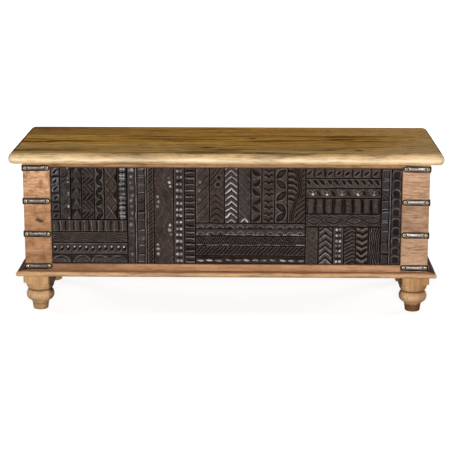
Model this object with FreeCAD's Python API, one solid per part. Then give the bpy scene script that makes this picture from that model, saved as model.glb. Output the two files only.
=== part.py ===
"""A long low storage trunk with a plank lid hinged at the back, a front of old carved strips,
iron straps nailed round the corners, a mitred base moulding and turned feet.

Millimetres. The origin is under the middle of the trunk on the floor, +X runs along the front,
the front faces -Y and +Z is up.
"""
import FreeCAD
import Part
import math
import os

V = FreeCAD.Vector

# Lid: three edge-glued planks with one rounded edge all round.
LID_LENGTH = 1219.0
LID_DEPTH = 457.0
LID_THICKNESS = 32.0
LID_OVERHANG = 36.0
LID_TOP_RADIUS = 18.0
LID_NOSE_FLAT = 2.0
LID_CORNER_FLAT = 2.0
LID_PLANK_SHARES = (("front", 0.305), ("middle", 0.350), ("back", 0.345))

# Battens that hold the lid planks together from below, and their screws.
BATTEN_WIDTH = 60.0
BATTEN_THICKNESS = 18.0
BATTEN_ROOM = 14.0
BATTEN_BEVEL = 6.0
BATTEN_PLACE_SHARE = 0.30
BATTEN_SCREW_BITE = 16.0

# Walls of the case.
WALL_HEIGHT = 314.0
WALL_THICKNESS = 20.0
WALL_BOARD_SHARES = (("lower", 0.36), ("middle", 0.34), ("upper", 0.30))
CORNER_POST_SIZE = 32.0
CORNER_POST_DROP = 24.0

# Front frame round the carved field.
STILE_WIDTH = 78.0
TOP_RAIL_HEIGHT = 15.0
BOTTOM_RAIL_HEIGHT = 20.0
TENON_LENGTH = 28.0
TENON_SETBACK = 4.0
BACKING_THICKNESS = 8.0
BACKING_LAP = 7.0

# Carved strips glued to the backing board.
STRIP_RECESS = 1.5
STRIP_SEAM = 0.8
STRIP_EDGE = 1.6
CUT_WIDTH = 4.2
CUT_DEPTH = 2.6
CUT_MARGIN_SHARE = 0.14

# Fields of the carved front. Each has its share of the width and of the height, the way its strips
# run, and its strips from left to right or from the bottom up: the share of the field that each
# takes, the motif carved along it and how often that repeats.
FIELD_SHARES = (
    ("carved_strips_left_upper", (0.0, 0.218), (0.457, 1.0), "upright", (
        (9, "bars", 6), (11, "scallops", 7), (11, "darts", 8), (13, "slants", 11),
        (10, "zigzag", 5), (13, "lattice", 4), (10, "beads", 12),
    )),
    ("carved_strips_left_lower", (0.0, 0.218), (0.0, 0.457), "level", (
        (9, "scallops", 4), (12, "beads", 12), (11, "slants", 16), (12, "bars", 10),
    )),
    ("carved_strips_left_tall", (0.218, 0.413), (0.0, 1.0), "upright", (
        (10, "beads", 18), (10, "bars", 9), (7, "slants", 22), (20, "wave", 2),
        (11, "beads", 15), (11, "bars", 17),
    )),
    ("carved_strips_middle_upper", (0.413, 0.727), (0.428, 1.0), "upright", (
        (14, "slants", 5), (15, "wave", 2), (14, "chevrons", 9), (13, "lattice", 4),
        (11, "zigzag", 5), (13, "darts", 9), (13, "lenses", 5), (18, "wave", 2),
    )),
    ("carved_strips_middle_lower", (0.413, 0.727), (0.0, 0.428), "level", (
        (8, "bars", 14), (10, "slants", 20), (10, "zigzag", 12), (13, "scallops", 11),
    )),
    ("carved_strips_right_upper", (0.727, 0.942), (0.391, 1.0), "level", (
        (13, "lenses", 4), (16, "bars", 8), (10, "zigzag", 6), (10, "slants", 11), (10, "lenses", 8),
    )),
    ("carved_strips_right_lower", (0.727, 0.942), (0.0, 0.391), "upright", (
        (13, "bars", 3), (15, "chevrons", 8), (11, "beads", 8), (12, "slants", 8),
        (13, "darts", 6), (12, "zigzag", 3),
    )),
    ("carved_strips_right_tall", (0.942, 1.0), (0.0, 1.0), "upright", (
        (10, "bars", 11), (10, "scallops", 12),
    )),
)

# Floor of the case.
FLOOR_THICKNESS = 12.0
FLOOR_BOARD_COUNT = 3
BEARER_WIDTH = 48.0
BEARER_PLACE_SHARE = 0.18
BEARER_TENON_LENGTH = 20.0
BEARER_TENON_THICKNESS = 6.0

# Base moulding, mitred at the corners.
BASE_THICKNESS = 14.0
BASE_OVERHANG = 24.5
BASE_WIDTH = 83.5
BASE_NOSE_FLAT = 2.0

# Turned feet, each from one square blank, and the bolts that hold them.
FOOT_HEIGHT = 109.0
FOOT_BLOCK_SIZE = 84.0
FOOT_SHOULDER_DROP = 21.0
FOOT_BOWL_DROP = 30.0
FOOT_BOWL_RADIUS = 40.5
FOOT_NECK_RADIUS = 33.0
FOOT_NECK_HEIGHT = 61.0
FOOT_BUN_RADIUS = 40.0
FOOT_BUN_HEIGHT = 44.0
FOOT_TAPER_RADIUS = 30.5
FOOT_TAPER_HEIGHT = 28.5
FOOT_WAIST_RADIUS = 23.2
FOOT_WAIST_HEIGHT = 16.0
FOOT_TOE_RADIUS = 21.6
FOOT_TOE_ROUND = 3.0
BOLT_RADIUS = 4.0
BOLT_BITE = 38.0

# Iron corner straps and their nails.
STRAP_COUNT = 4
STRAP_HEIGHT = 18.0
STRAP_THICKNESS = 2.0
STRAP_ARM = 77.5
STRAP_TOP_DROP = 17.0
STRAP_BOTTOM_RISE = 11.0
STRAP_RIB_WIDTH = 14.0
STRAP_RIB_HEIGHT = 3.0
STRAP_RIB_BEVEL = 6.0
NAIL_HEAD_RADIUS = 4.5
NAIL_CROWN_RADIUS = 2.4
NAIL_HEAD_HEIGHT = 2.4
NAIL_SHANK = 2.2
NAIL_BITE = 5.0
NAIL_SIDES = 8

# Iron hinges on the back.
HINGE_LENGTH = 75.0
HINGE_PLACE_SHARE = 0.30
HINGE_LEAF_WIDTH = 17.0
HINGE_LEAF_THICKNESS = 2.5
HINGE_KNUCKLE_RADIUS = 5.0
HINGE_KNUCKLE_COUNT = 5
HINGE_PIN_RADIUS = 2.5
HINGE_PIN_CAP_RADIUS = 3.8
HINGE_PIN_CAP_LENGTH = 1.6
HINGE_SCREW_SHARES = (0.15, 0.50, 0.85)
HINGE_SCREW_ROW = 10.5
HINGE_SCREW_BITE = 11.0
SCREW_HEAD_RADIUS = 3.6
SCREW_SHANK_RADIUS = 1.8

# Clearances and the overrun of cuts.
HINGE_ROOM = 0.5
KNUCKLE_GAP = 0.3
PIN_FIT = 0.05
BORE_FIT = 0.1
BOARD_GAP = 0.5
OVERRUN = 2.0

# Places that follow from the sizes above.
CASE_WIDTH = LID_LENGTH - 2 * LID_OVERHANG
CASE_DEPTH = LID_DEPTH - 2 * LID_OVERHANG
CASE_X = CASE_WIDTH / 2
CASE_Y = CASE_DEPTH / 2
INNER_X = CASE_X - WALL_THICKNESS
INNER_Y = CASE_Y - WALL_THICKNESS
WALL_Z = FOOT_HEIGHT + BASE_THICKNESS
RIM_Z = WALL_Z + WALL_HEIGHT
LID_TOP_Z = RIM_Z + LID_THICKNESS
FLOOR_TOP_Z = WALL_Z + FLOOR_THICKNESS
POST_X = INNER_X - CORNER_POST_SIZE / 2
POST_Y = INNER_Y - CORNER_POST_SIZE / 2
BASE_X = CASE_X + BASE_OVERHANG
BASE_Y = CASE_Y + BASE_OVERHANG
FIELD_X = CASE_X - STILE_WIDTH
FIELD_LOW_Z = WALL_Z + BOTTOM_RAIL_HEIGHT
FIELD_HIGH_Z = RIM_Z - TOP_RAIL_HEIGHT
BACKING_FACE_Y = -INNER_Y - BACKING_THICKNESS
STRIP_FACE_Y = STRIP_RECESS - CASE_Y
HINGE_Y = CASE_Y + HINGE_KNUCKLE_RADIUS + HINGE_ROOM
HINGE_Z = RIM_Z - HINGE_KNUCKLE_RADIUS - HINGE_ROOM
HINGE_X = CASE_WIDTH * HINGE_PLACE_SHARE
CORNERS = (("front_left", -1, -1), ("front_right", 1, -1), ("back_left", -1, 1), ("back_right", 1, 1))
SIDES = (("left", -1), ("right", 1))


def block(low, high):
    """A box between two opposite corners, given in any order."""
    start = V(min(low.x, high.x), min(low.y, high.y), min(low.z, high.z))
    size = V(abs(high.x - low.x), abs(high.y - low.y), abs(high.z - low.z))
    return Part.makeBox(size.x, size.y, size.z, start)


def prism(points, travel):
    """A flat outline with straight sides, pushed along a vector."""
    return Part.Face(Part.makePolygon(points + points[:1])).extrude(travel)


def arc(start, middle, end):
    return Part.Arc(start, middle, end).toShape()


def line(start, end):
    return Part.LineSegment(start, end).toShape()


def to_corner(shape, x_side, y_side):
    """A shape made at the front right corner, mirrored to another corner."""
    if x_side < 0:
        shape = shape.mirror(V(), V(1, 0, 0))
    if y_side > 0:
        shape = shape.mirror(V(), V(0, 1, 0))
    return shape


def save(name, *solids):
    """One file for a node: a single piece, or a group of separate like pieces."""
    shape = solids[0] if len(solids) == 1 else Part.makeCompound(list(solids))
    shape.exportStep("parts/" + name + ".step")


def spans(shares, start, length):
    """The stretches of a length that its shares take, one after another."""
    total = sum(share for _, share in shares)
    place = start
    stretches = []
    for name, share in shares:
        end = place + length * share / total
        stretches.append((name, place, end))
        place = end
    return stretches


def screw(head_face, direction, bite, room=0.0):
    """A countersunk screw, or with room the hole for it, driven along a direction."""
    sink = SCREW_HEAD_RADIUS - SCREW_SHANK_RADIUS
    head = Part.makeCone(SCREW_HEAD_RADIUS + room, SCREW_SHANK_RADIUS + room, sink, head_face, direction)
    shank = Part.makeCylinder(SCREW_SHANK_RADIUS + room, bite, head_face, direction)
    return head.fuse(shank).removeSplitter()


def strap_heights():
    low = WALL_Z + STRAP_BOTTOM_RISE
    high = RIM_Z - STRAP_TOP_DROP
    return [low + (high - low) * step / (STRAP_COUNT - 1) for step in range(STRAP_COUNT)]


def nail_places():
    """Places of the nails of one arm, measured from the corner of the case along the wall."""
    near_free_end = STRAP_ARM - STRAP_HEIGHT / 2
    near_corner = STRAP_HEIGHT / 2 - STRAP_THICKNESS
    return (near_corner, near_free_end)


def nails_at(height):
    """The nails of one strap at the front right corner, as (foot of the head, direction) pairs."""
    front = [(V(CASE_X - place, -CASE_Y - STRAP_THICKNESS, height), V(0, 1, 0)) for place in nail_places()]
    side = [(V(CASE_X + STRAP_THICKNESS, place - CASE_Y, height), V(-1, 0, 0)) for place in nail_places()]
    return front + side


def nail_shank(foot, direction):
    across = V(direction.y, direction.x, 0).multiply(NAIL_SHANK / 2)
    corner = foot - across - V(0, 0, NAIL_SHANK / 2)
    reach = direction * (STRAP_THICKNESS + NAIL_BITE)
    return block(corner, foot + across + V(0, 0, NAIL_SHANK / 2) + reach)


def nail_head(foot, direction):
    """A low faceted dome."""
    rings = []
    for radius, height in ((NAIL_HEAD_RADIUS, 0), (NAIL_CROWN_RADIUS, NAIL_HEAD_HEIGHT)):
        ring = []
        for side in range(NAIL_SIDES):
            turn = math.tau * side / NAIL_SIDES
            along = V(direction.y, direction.x, 0) * (radius * math.cos(turn))
            ring.append(foot + along + V(0, 0, radius * math.sin(turn)) - direction * height)
        rings.append(Part.makePolygon(ring + ring[:1]))
    return Part.makeLoft(rings, True, True)


def all_shanks():
    """Every nail shank of the case, to bore the boards with."""
    shanks = []
    for _, x_side, y_side in CORNERS:
        for height in strap_heights():
            for foot, direction in nails_at(height):
                shanks.append(to_corner(nail_shank(foot, direction), x_side, y_side))
    return shanks


SHANKS = all_shanks()


def bored(board, holes=()):
    """A board with the holes of the nails, and of any screws, that enter it."""
    near = [hole for hole in SHANKS + list(holes) if hole.BoundBox.intersect(board.BoundBox)]
    return board.cut(near) if near else board


def hinge_screws(x_side, onto):
    """Screws of one hinge leaf: onto the back of the case, or up into the lid."""
    places = []
    for share in HINGE_SCREW_SHARES:
        x = x_side * HINGE_X + HINGE_LENGTH * (share - 0.5)
        if onto == "case":
            places.append((V(x, CASE_Y + HINGE_LEAF_THICKNESS, HINGE_Z - HINGE_SCREW_ROW), V(0, -1, 0)))
        else:
            places.append((V(x, HINGE_Y + HINGE_SCREW_ROW, RIM_Z - HINGE_LEAF_THICKNESS), V(0, 0, 1)))
    return places


def batten_screws(x_side):
    """One screw through the batten into each lid plank."""
    places = []
    for _, low, high in spans(LID_PLANK_SHARES, -LID_DEPTH / 2, LID_DEPTH):
        inner_low = max(low, BATTEN_ROOM + BATTEN_BEVEL - INNER_Y)
        inner_high = min(high, INNER_Y - BATTEN_ROOM - BATTEN_BEVEL)
        x = x_side * LID_LENGTH * BATTEN_PLACE_SHARE
        places.append((V(x, (inner_low + inner_high) / 2, RIM_Z - BATTEN_THICKNESS), V(0, 0, 1)))
    return places


def lid_screw_holes():
    holes = []
    for _, x_side in SIDES:
        for foot, direction in batten_screws(x_side):
            holes.append(screw(foot, direction, BATTEN_THICKNESS + BATTEN_SCREW_BITE, BORE_FIT))
        for foot, direction in hinge_screws(x_side, "lid"):
            holes.append(screw(foot, direction, HINGE_LEAF_THICKNESS + HINGE_SCREW_BITE, BORE_FIT))
    return holes


def make_lid():
    """The planks are cut from one slab with a rounded edge, so the edge runs on from plank to plank."""
    corner_radius = LID_TOP_RADIUS + LID_CORNER_FLAT
    under_radius = LID_THICKNESS - LID_TOP_RADIUS - LID_NOSE_FLAT
    slab = block(V(-LID_LENGTH / 2, -LID_DEPTH / 2, RIM_Z), V(LID_LENGTH / 2, LID_DEPTH / 2, LID_TOP_Z))
    upright = [edge for edge in slab.Edges if edge.BoundBox.ZLength > LID_THICKNESS / 2]
    slab = slab.makeFillet(corner_radius, upright)
    top = [edge for edge in slab.Edges if edge.BoundBox.ZMin > LID_TOP_Z - LID_NOSE_FLAT]
    slab = slab.makeFillet(LID_TOP_RADIUS, top)
    bottom = [edge for edge in slab.Edges if edge.BoundBox.ZMax < RIM_Z + LID_NOSE_FLAT]
    slab = slab.makeFillet(under_radius, bottom)
    holes = lid_screw_holes()
    for name, low, high in spans(LID_PLANK_SHARES, -LID_DEPTH / 2, LID_DEPTH):
        cutter = block(V(-LID_LENGTH, low, RIM_Z - OVERRUN), V(LID_LENGTH, high, LID_TOP_Z + OVERRUN))
        plank = slab.common(cutter)
        near = [hole for hole in holes if hole.BoundBox.intersect(plank.BoundBox)]
        save("lid_plank_" + name, plank.cut(near))


def make_battens():
    """Two cross battens with bevelled ends under the lid, clear of the walls when it closes."""
    screws = []
    end_y = INNER_Y - BATTEN_ROOM
    for side, x_side in SIDES:
        low_x = x_side * LID_LENGTH * BATTEN_PLACE_SHARE - BATTEN_WIDTH / 2
        profile = [
            V(low_x, -end_y, RIM_Z),
            V(low_x, -end_y, RIM_Z - BATTEN_THICKNESS + BATTEN_BEVEL),
            V(low_x, BATTEN_BEVEL - end_y, RIM_Z - BATTEN_THICKNESS),
            V(low_x, end_y - BATTEN_BEVEL, RIM_Z - BATTEN_THICKNESS),
            V(low_x, end_y, RIM_Z - BATTEN_THICKNESS + BATTEN_BEVEL),
            V(low_x, end_y, RIM_Z),
        ]
        batten = prism(profile, V(BATTEN_WIDTH, 0, 0))
        length = BATTEN_THICKNESS + BATTEN_SCREW_BITE
        for foot, direction in batten_screws(x_side):
            batten = batten.cut(screw(foot, direction, length, BORE_FIT))
            screws.append(screw(foot, direction, length - BORE_FIT))
        save("lid_batten_" + side, batten)
    save("lid_batten_screws", *screws)


def make_front_frame():
    """Two stiles and two tenoned rails, rebated at the back for the backing board."""
    rebate = block(
        V(-FIELD_X - BACKING_LAP, BACKING_FACE_Y, FIELD_LOW_Z - BACKING_LAP),
        V(FIELD_X + BACKING_LAP, -INNER_Y + OVERRUN, FIELD_HIGH_Z + BACKING_LAP),
    )
    tenon_front = TENON_SETBACK - CASE_Y
    rails = {"front_bottom_rail": (WALL_Z, FIELD_LOW_Z), "front_top_rail": (FIELD_HIGH_Z, RIM_Z)}
    tenons = []
    for name, (low, high) in rails.items():
        bar = block(V(-FIELD_X, -CASE_Y, low), V(FIELD_X, -INNER_Y, high)).cut(rebate)
        reach = FIELD_X + TENON_LENGTH
        tongue = block(V(-reach, tenon_front, low), V(reach, BACKING_FACE_Y, high))
        tenons.append(tongue)
        save(name, bored(bar.fuse(tongue).removeSplitter()))
    for side, x_side in SIDES:
        stile = block(V(x_side * FIELD_X, -CASE_Y, WALL_Z), V(x_side * CASE_X, -INNER_Y, RIM_Z))
        save("front_stile_" + side, bored(stile.cut([rebate] + tenons)))
    backing = block(
        V(-FIELD_X - BACKING_LAP, BACKING_FACE_Y, FIELD_LOW_Z - BACKING_LAP),
        V(FIELD_X + BACKING_LAP, -INNER_Y, FIELD_HIGH_Z + BACKING_LAP),
    )
    save("front_backing_board", backing)


def motif_lines(motif, repeats):
    """The knife lines of a motif, as shares of the strip's length and width."""
    low, high = CUT_MARGIN_SHARE, 1 - CUT_MARGIN_SHARE
    cells = range(repeats)
    across = [[(cell, 0), (cell, 1)] for cell in cells[1:]]
    rising = [[(cell - 1, 0), (cell, 1)] for cell in range(repeats + 1)]
    falling = [[(cell - 1, 1), (cell, 0)] for cell in range(repeats + 1)]
    steps = [step / 6 for step in range(6 * repeats + 1)]
    swing = (high - low) / 2
    shapes = {
        "bars": across,
        "slants": rising,
        "lattice": rising + falling,
        "beads": across + [[(0, 0.5), (repeats, 0.5)]],
        "chevrons": [[(cell, 0), (cell + 0.6, 0.5), (cell, 1)] for cell in cells],
        "darts": [[(cell + 0.6, 0), (cell, 0.5), (cell + 0.6, 1)] for cell in cells],
        "zigzag": [[(cell, low), (cell + 0.5, high), (cell + 1, low)] for cell in cells],
        "lenses": [
            [(cell, 0.5), (cell + 0.5, edge), (cell + 1, 0.5)] for cell in cells for edge in (low, high)
        ],
        "scallops": [
            [(cell, low), (cell + 0.15, 0.6), (cell + 0.5, high), (cell + 0.85, 0.6), (cell + 1, low)]
            for cell in cells
        ],
        "wave": [[(step, 0.5 + swing * math.sin(math.tau * step)) for step in steps]],
    }
    return [[(along / repeats, side) for along, side in path] for path in shapes[motif]]


def knife_cut(start, end):
    """A V-shaped cut from the front between two points of the strip's face."""
    along = end - start
    aside = V(-along.z, 0, along.x).normalize()
    flare = (CUT_DEPTH + OVERRUN) / CUT_DEPTH
    outer = start - V(0, OVERRUN, 0)
    reach = aside * (CUT_WIDTH / 2 * flare)
    return prism([outer - reach, outer + reach, start + V(0, CUT_DEPTH, 0)], along)


def carved_strip(low, high, run, motif, repeats):
    """One old strip with eased front edges, carved along its length."""
    strip = block(low, high)
    front = [edge for edge in strip.Edges if edge.BoundBox.YMax < STRIP_FACE_Y + STRIP_EDGE]
    strip = strip.makeChamfer(STRIP_EDGE, front)
    width, height = high.x - low.x, high.z - low.z
    cuts = []
    for path in motif_lines(motif, repeats):
        if run == "upright":
            points = [V(low.x + side * width, low.y, low.z + along * height) for along, side in path]
        else:
            points = [V(low.x + along * width, low.y, low.z + side * height) for along, side in path]
        cuts += [knife_cut(start, end) for start, end in zip(points, points[1:])]
    return strip.cut(cuts)


def make_carved_front():
    """Old carved strips of many patterns, cut to fit and glued edge to edge on the backing board."""
    width, height = 2 * FIELD_X, FIELD_HIGH_Z - FIELD_LOW_Z
    seam = STRIP_SEAM / 2
    for name, (left, right), (bottom, top), run, strips in FIELD_SHARES:
        low = V(left * width - FIELD_X + seam, STRIP_FACE_Y, FIELD_LOW_Z + bottom * height + seam)
        high = V(right * width - FIELD_X - seam, BACKING_FACE_Y, FIELD_LOW_Z + top * height - seam)
        shares = [(number, strip[0]) for number, strip in enumerate(strips)]
        pieces = []
        length = high.x - low.x if run == "upright" else high.z - low.z
        for number, start, end in spans(shares, 0, length):
            near, far = start + seam, end - seam
            if run == "upright":
                ends = (V(low.x + near, low.y, low.z), V(low.x + far, high.y, high.z))
            else:
                ends = (V(low.x, low.y, low.z + near), V(high.x, high.y, low.z + far))
            pieces.append(carved_strip(*ends, run, *strips[number][1:]))
        save(name, *pieces)


def make_back_and_sides():
    """Horizontal boards, edge to edge: full width across the back, between front and back at the sides."""
    holes = []
    for _, x_side in SIDES:
        for foot, direction in hinge_screws(x_side, "case"):
            holes.append(screw(foot, direction, HINGE_LEAF_THICKNESS + HINGE_SCREW_BITE, BORE_FIT))
    for name, low, high in spans(WALL_BOARD_SHARES, WALL_Z, WALL_HEIGHT):
        back = block(V(-CASE_X, INNER_Y, low), V(CASE_X, CASE_Y, high))
        save("back_board_" + name, bored(back, holes))
        for side, x_side in SIDES:
            board = block(V(x_side * INNER_X, -INNER_Y, low), V(x_side * CASE_X, INNER_Y, high))
            save(side + "_side_board_" + name, bored(board))


def foot_bolt(room=0.0):
    """The bolt of the front right foot, or with room the bore for it."""
    low = FOOT_HEIGHT - BOLT_BITE - room
    length = FLOOR_TOP_Z + BOLT_BITE + room - low
    return Part.makeCylinder(BOLT_RADIUS + room, length, V(POST_X, -POST_Y, low))


def bolt_bores():
    return [to_corner(foot_bolt(BORE_FIT), x_side, y_side) for _, x_side, y_side in CORNERS]


def make_posts_and_floor():
    """Corner posts stand on the floor boards, which lie on the base moulding and two bearers."""
    bores = bolt_bores()
    post = block(
        V(INNER_X - CORNER_POST_SIZE, -INNER_Y, FLOOR_TOP_Z),
        V(INNER_X, CORNER_POST_SIZE - INNER_Y, RIM_Z - CORNER_POST_DROP),
    )
    post = post.cut(foot_bolt(BORE_FIT))
    for corner, x_side, y_side in CORNERS:
        save("corner_post_" + corner, to_corner(post, x_side, y_side))
    depth = 2 * INNER_Y / FLOOR_BOARD_COUNT
    for number in range(FLOOR_BOARD_COUNT):
        front = depth * number - INNER_Y
        back = front + depth - (BOARD_GAP if number < FLOOR_BOARD_COUNT - 1 else 0)
        board = block(V(-INNER_X, front, WALL_Z), V(INNER_X, back, FLOOR_TOP_Z))
        near = [bore for bore in bores if bore.BoundBox.intersect(board.BoundBox)]
        save("floor_board_" + str(number + 1), board.cut(near) if near else board)
    for side, x_side in SIDES:
        save("floor_bearer_" + side, bearer(x_side))
    save("foot_bolts", *[to_corner(foot_bolt(), x_side, y_side) for _, x_side, y_side in CORNERS])


def bearer(x_side):
    """A flat cross bearer between the front and back mouldings, tenoned into both."""
    centre = x_side * CASE_WIDTH * BEARER_PLACE_SHARE
    reach = BASE_Y - BASE_WIDTH
    half = BEARER_WIDTH / 2
    bar = block(V(centre - half, -reach, FOOT_HEIGHT), V(centre + half, reach, WALL_Z))
    return bar.fuse(bearer_tenon(centre)).removeSplitter()


def bearer_tenon(centre):
    low = FOOT_HEIGHT + (BASE_THICKNESS - BEARER_TENON_THICKNESS) / 2
    reach = BASE_Y - BASE_WIDTH + BEARER_TENON_LENGTH
    return block(
        V(centre - BEARER_WIDTH / 2, -reach, low),
        V(centre + BEARER_WIDTH / 2, reach, low + BEARER_TENON_THICKNESS),
    )


def make_base():
    """Four lengths of one moulding with a rounded nose, mitred together."""
    radius = (BASE_THICKNESS - BASE_NOSE_FLAT) / 2
    bevel = radius * math.sqrt(0.5)
    openings = bolt_bores()
    openings += [bearer_tenon(x_side * CASE_WIDTH * BEARER_PLACE_SHARE) for _, x_side in SIDES]
    runs = (
        ("front", BASE_X, BASE_Y, 0),
        ("right", BASE_Y, BASE_X, 90),
        ("back", BASE_X, BASE_Y, 180),
        ("left", BASE_Y, BASE_X, 270),
    )
    for name, half_run, nose, turn in runs:
        under, over = FOOT_HEIGHT, WALL_Z
        inner = BASE_WIDTH - nose
        edges = [
            line(V(0, inner, under), V(0, radius - nose, under)),
            arc(V(0, radius - nose, under), V(0, radius - bevel - nose, under + radius - bevel),
                V(0, -nose, under + radius)),
            line(V(0, -nose, under + radius), V(0, -nose, over - radius)),
            arc(V(0, -nose, over - radius), V(0, radius - bevel - nose, over - radius + bevel),
                V(0, radius - nose, over)),
            line(V(0, radius - nose, over), V(0, inner, over)),
            line(V(0, inner, over), V(0, inner, under)),
        ]
        length = Part.Face(Part.Wire(edges)).extrude(V(2 * half_run, 0, 0)).translated(V(-half_run, 0, 0))
        half_inner = half_run - BASE_WIDTH
        mitre = prism(
            [
                V(-half_run, -nose, under - OVERRUN),
                V(half_run, -nose, under - OVERRUN),
                V(half_inner, inner, under - OVERRUN),
                V(-half_inner, inner, under - OVERRUN),
            ],
            V(0, 0, BASE_THICKNESS + 2 * OVERRUN),
        )
        piece = length.common(mitre)
        piece.rotate(V(), V(0, 0, 1), turn)
        near = [opening for opening in openings if opening.BoundBox.intersect(piece.BoundBox)]
        save("base_moulding_" + name, piece.cut(near))


def halfway(upright, tip):
    """The middle of the turned arc that is upright at its widest or narrowest point and runs on to its tip."""
    run = upright.x - tip.x
    rise = tip.z - upright.z
    swing = (run * run + rise * rise) / (2 * run)
    turn = math.asin(rise / swing) / 2
    return upright + V(swing * math.cos(turn) - swing, 0, swing * math.sin(turn))


def make_feet():
    """A square blank turned to a bowl, a bun that tapers and a short toe, its corners left square at the top."""
    block_half = FOOT_BLOCK_SIZE / 2
    corner = block_half * math.sqrt(2) + OVERRUN
    shoulder = FOOT_HEIGHT - FOOT_SHOULDER_DROP
    bowl = FOOT_HEIGHT - FOOT_BOWL_DROP
    sole = V(FOOT_TOE_RADIUS - FOOT_TOE_ROUND, 0, 0)
    toe = V(FOOT_TOE_RADIUS, 0, FOOT_TOE_ROUND)
    waist = V(FOOT_WAIST_RADIUS, 0, FOOT_WAIST_HEIGHT)
    taper = V(FOOT_TAPER_RADIUS, 0, FOOT_TAPER_HEIGHT)
    bun = V(FOOT_BUN_RADIUS, 0, FOOT_BUN_HEIGHT)
    neck = V(FOOT_NECK_RADIUS, 0, FOOT_NECK_HEIGHT)
    rim = V(FOOT_BOWL_RADIUS, 0, bowl)
    edges = [
        line(V(), sole),
        arc(sole, halfway(toe, sole), toe),
        line(toe, waist),
        arc(waist, halfway(waist, taper), taper),
        arc(taper, halfway(bun, taper), bun),
        arc(bun, halfway(bun, neck), neck),
        arc(neck, halfway(rim, neck), rim),
        line(rim, V(corner, 0, shoulder)),
        line(V(corner, 0, shoulder), V(corner, 0, FOOT_HEIGHT)),
        line(V(corner, 0, FOOT_HEIGHT), V(0, 0, FOOT_HEIGHT)),
        line(V(0, 0, FOOT_HEIGHT), V()),
    ]
    turned = Part.Face(Part.Wire(edges)).revolve(V(), V(0, 0, 1), 360)
    blank = block(V(-block_half, -block_half, -OVERRUN), V(block_half, block_half, FOOT_HEIGHT))
    foot = blank.common(turned).translated(V(POST_X, -POST_Y, 0)).cut(foot_bolt(BORE_FIT))
    for name, x_side, y_side in CORNERS:
        save("foot_" + name, to_corner(foot, x_side, y_side))


def strap_arm(length, thickness_place):
    """One arm lying flat: a bar with a round eye at its free end and a half-round rib between the nails."""
    half = STRAP_HEIGHT / 2
    eye = length - half
    edges = [
        line(V(eye, 0, half), V(-STRAP_THICKNESS, 0, half)),
        line(V(-STRAP_THICKNESS, 0, half), V(-STRAP_THICKNESS, 0, -half)),
        line(V(-STRAP_THICKNESS, 0, -half), V(eye, 0, -half)),
        arc(V(eye, 0, -half), V(length, 0, 0), V(eye, 0, half)),
    ]
    plate = Part.Face(Part.Wire(edges)).extrude(V(0, -thickness_place, 0))
    near, far = nail_places()
    start = near + NAIL_HEAD_RADIUS
    end = far - NAIL_HEAD_RADIUS
    rib_half = STRAP_RIB_WIDTH / 2
    swing = (rib_half * rib_half + STRAP_RIB_HEIGHT * STRAP_RIB_HEIGHT) / (2 * STRAP_RIB_HEIGHT)
    core = V(start, swing - STRAP_RIB_HEIGHT - thickness_place, 0)
    rod = Part.makeCylinder(swing, end - start, core, V(1, 0, 0))
    top = -thickness_place - STRAP_RIB_HEIGHT
    keep = prism(
        [
            V(start, -thickness_place, -rib_half),
            V(start + STRAP_RIB_BEVEL, top, -rib_half),
            V(end - STRAP_RIB_BEVEL, top, -rib_half),
            V(end, -thickness_place, -rib_half),
        ],
        V(0, 0, STRAP_RIB_WIDTH),
    )
    return plate.fuse(rod.common(keep)).removeSplitter()


def make_straps():
    """Each strap is bent round its corner and nailed twice on each face."""
    arm = strap_arm(STRAP_ARM, STRAP_THICKNESS)
    front = arm.mirror(V(), V(1, 0, 0)).translated(V(CASE_X, -CASE_Y, 0))
    side = arm.copy()
    side.rotate(V(), V(0, 0, 1), 90)
    side = side.translated(V(CASE_X, -CASE_Y, 0))
    bent = front.fuse(side).removeSplitter()
    nails = []
    groups = {name: [] for name, _, _ in CORNERS}
    for height in strap_heights():
        shanks = [nail_shank(foot, direction) for foot, direction in nails_at(height)]
        strap = bent.translated(V(0, 0, height)).cut(shanks)
        for name, x_side, y_side in CORNERS:
            groups[name].append(to_corner(strap, x_side, y_side))
            for (foot, direction), shank in zip(nails_at(height), shanks):
                nail = nail_head(foot, direction).fuse(shank)
                nails.append(to_corner(nail, x_side, y_side))
    for name, straps in groups.items():
        save("corner_straps_" + name, *straps)
    save("strap_nails", *nails)


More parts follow.
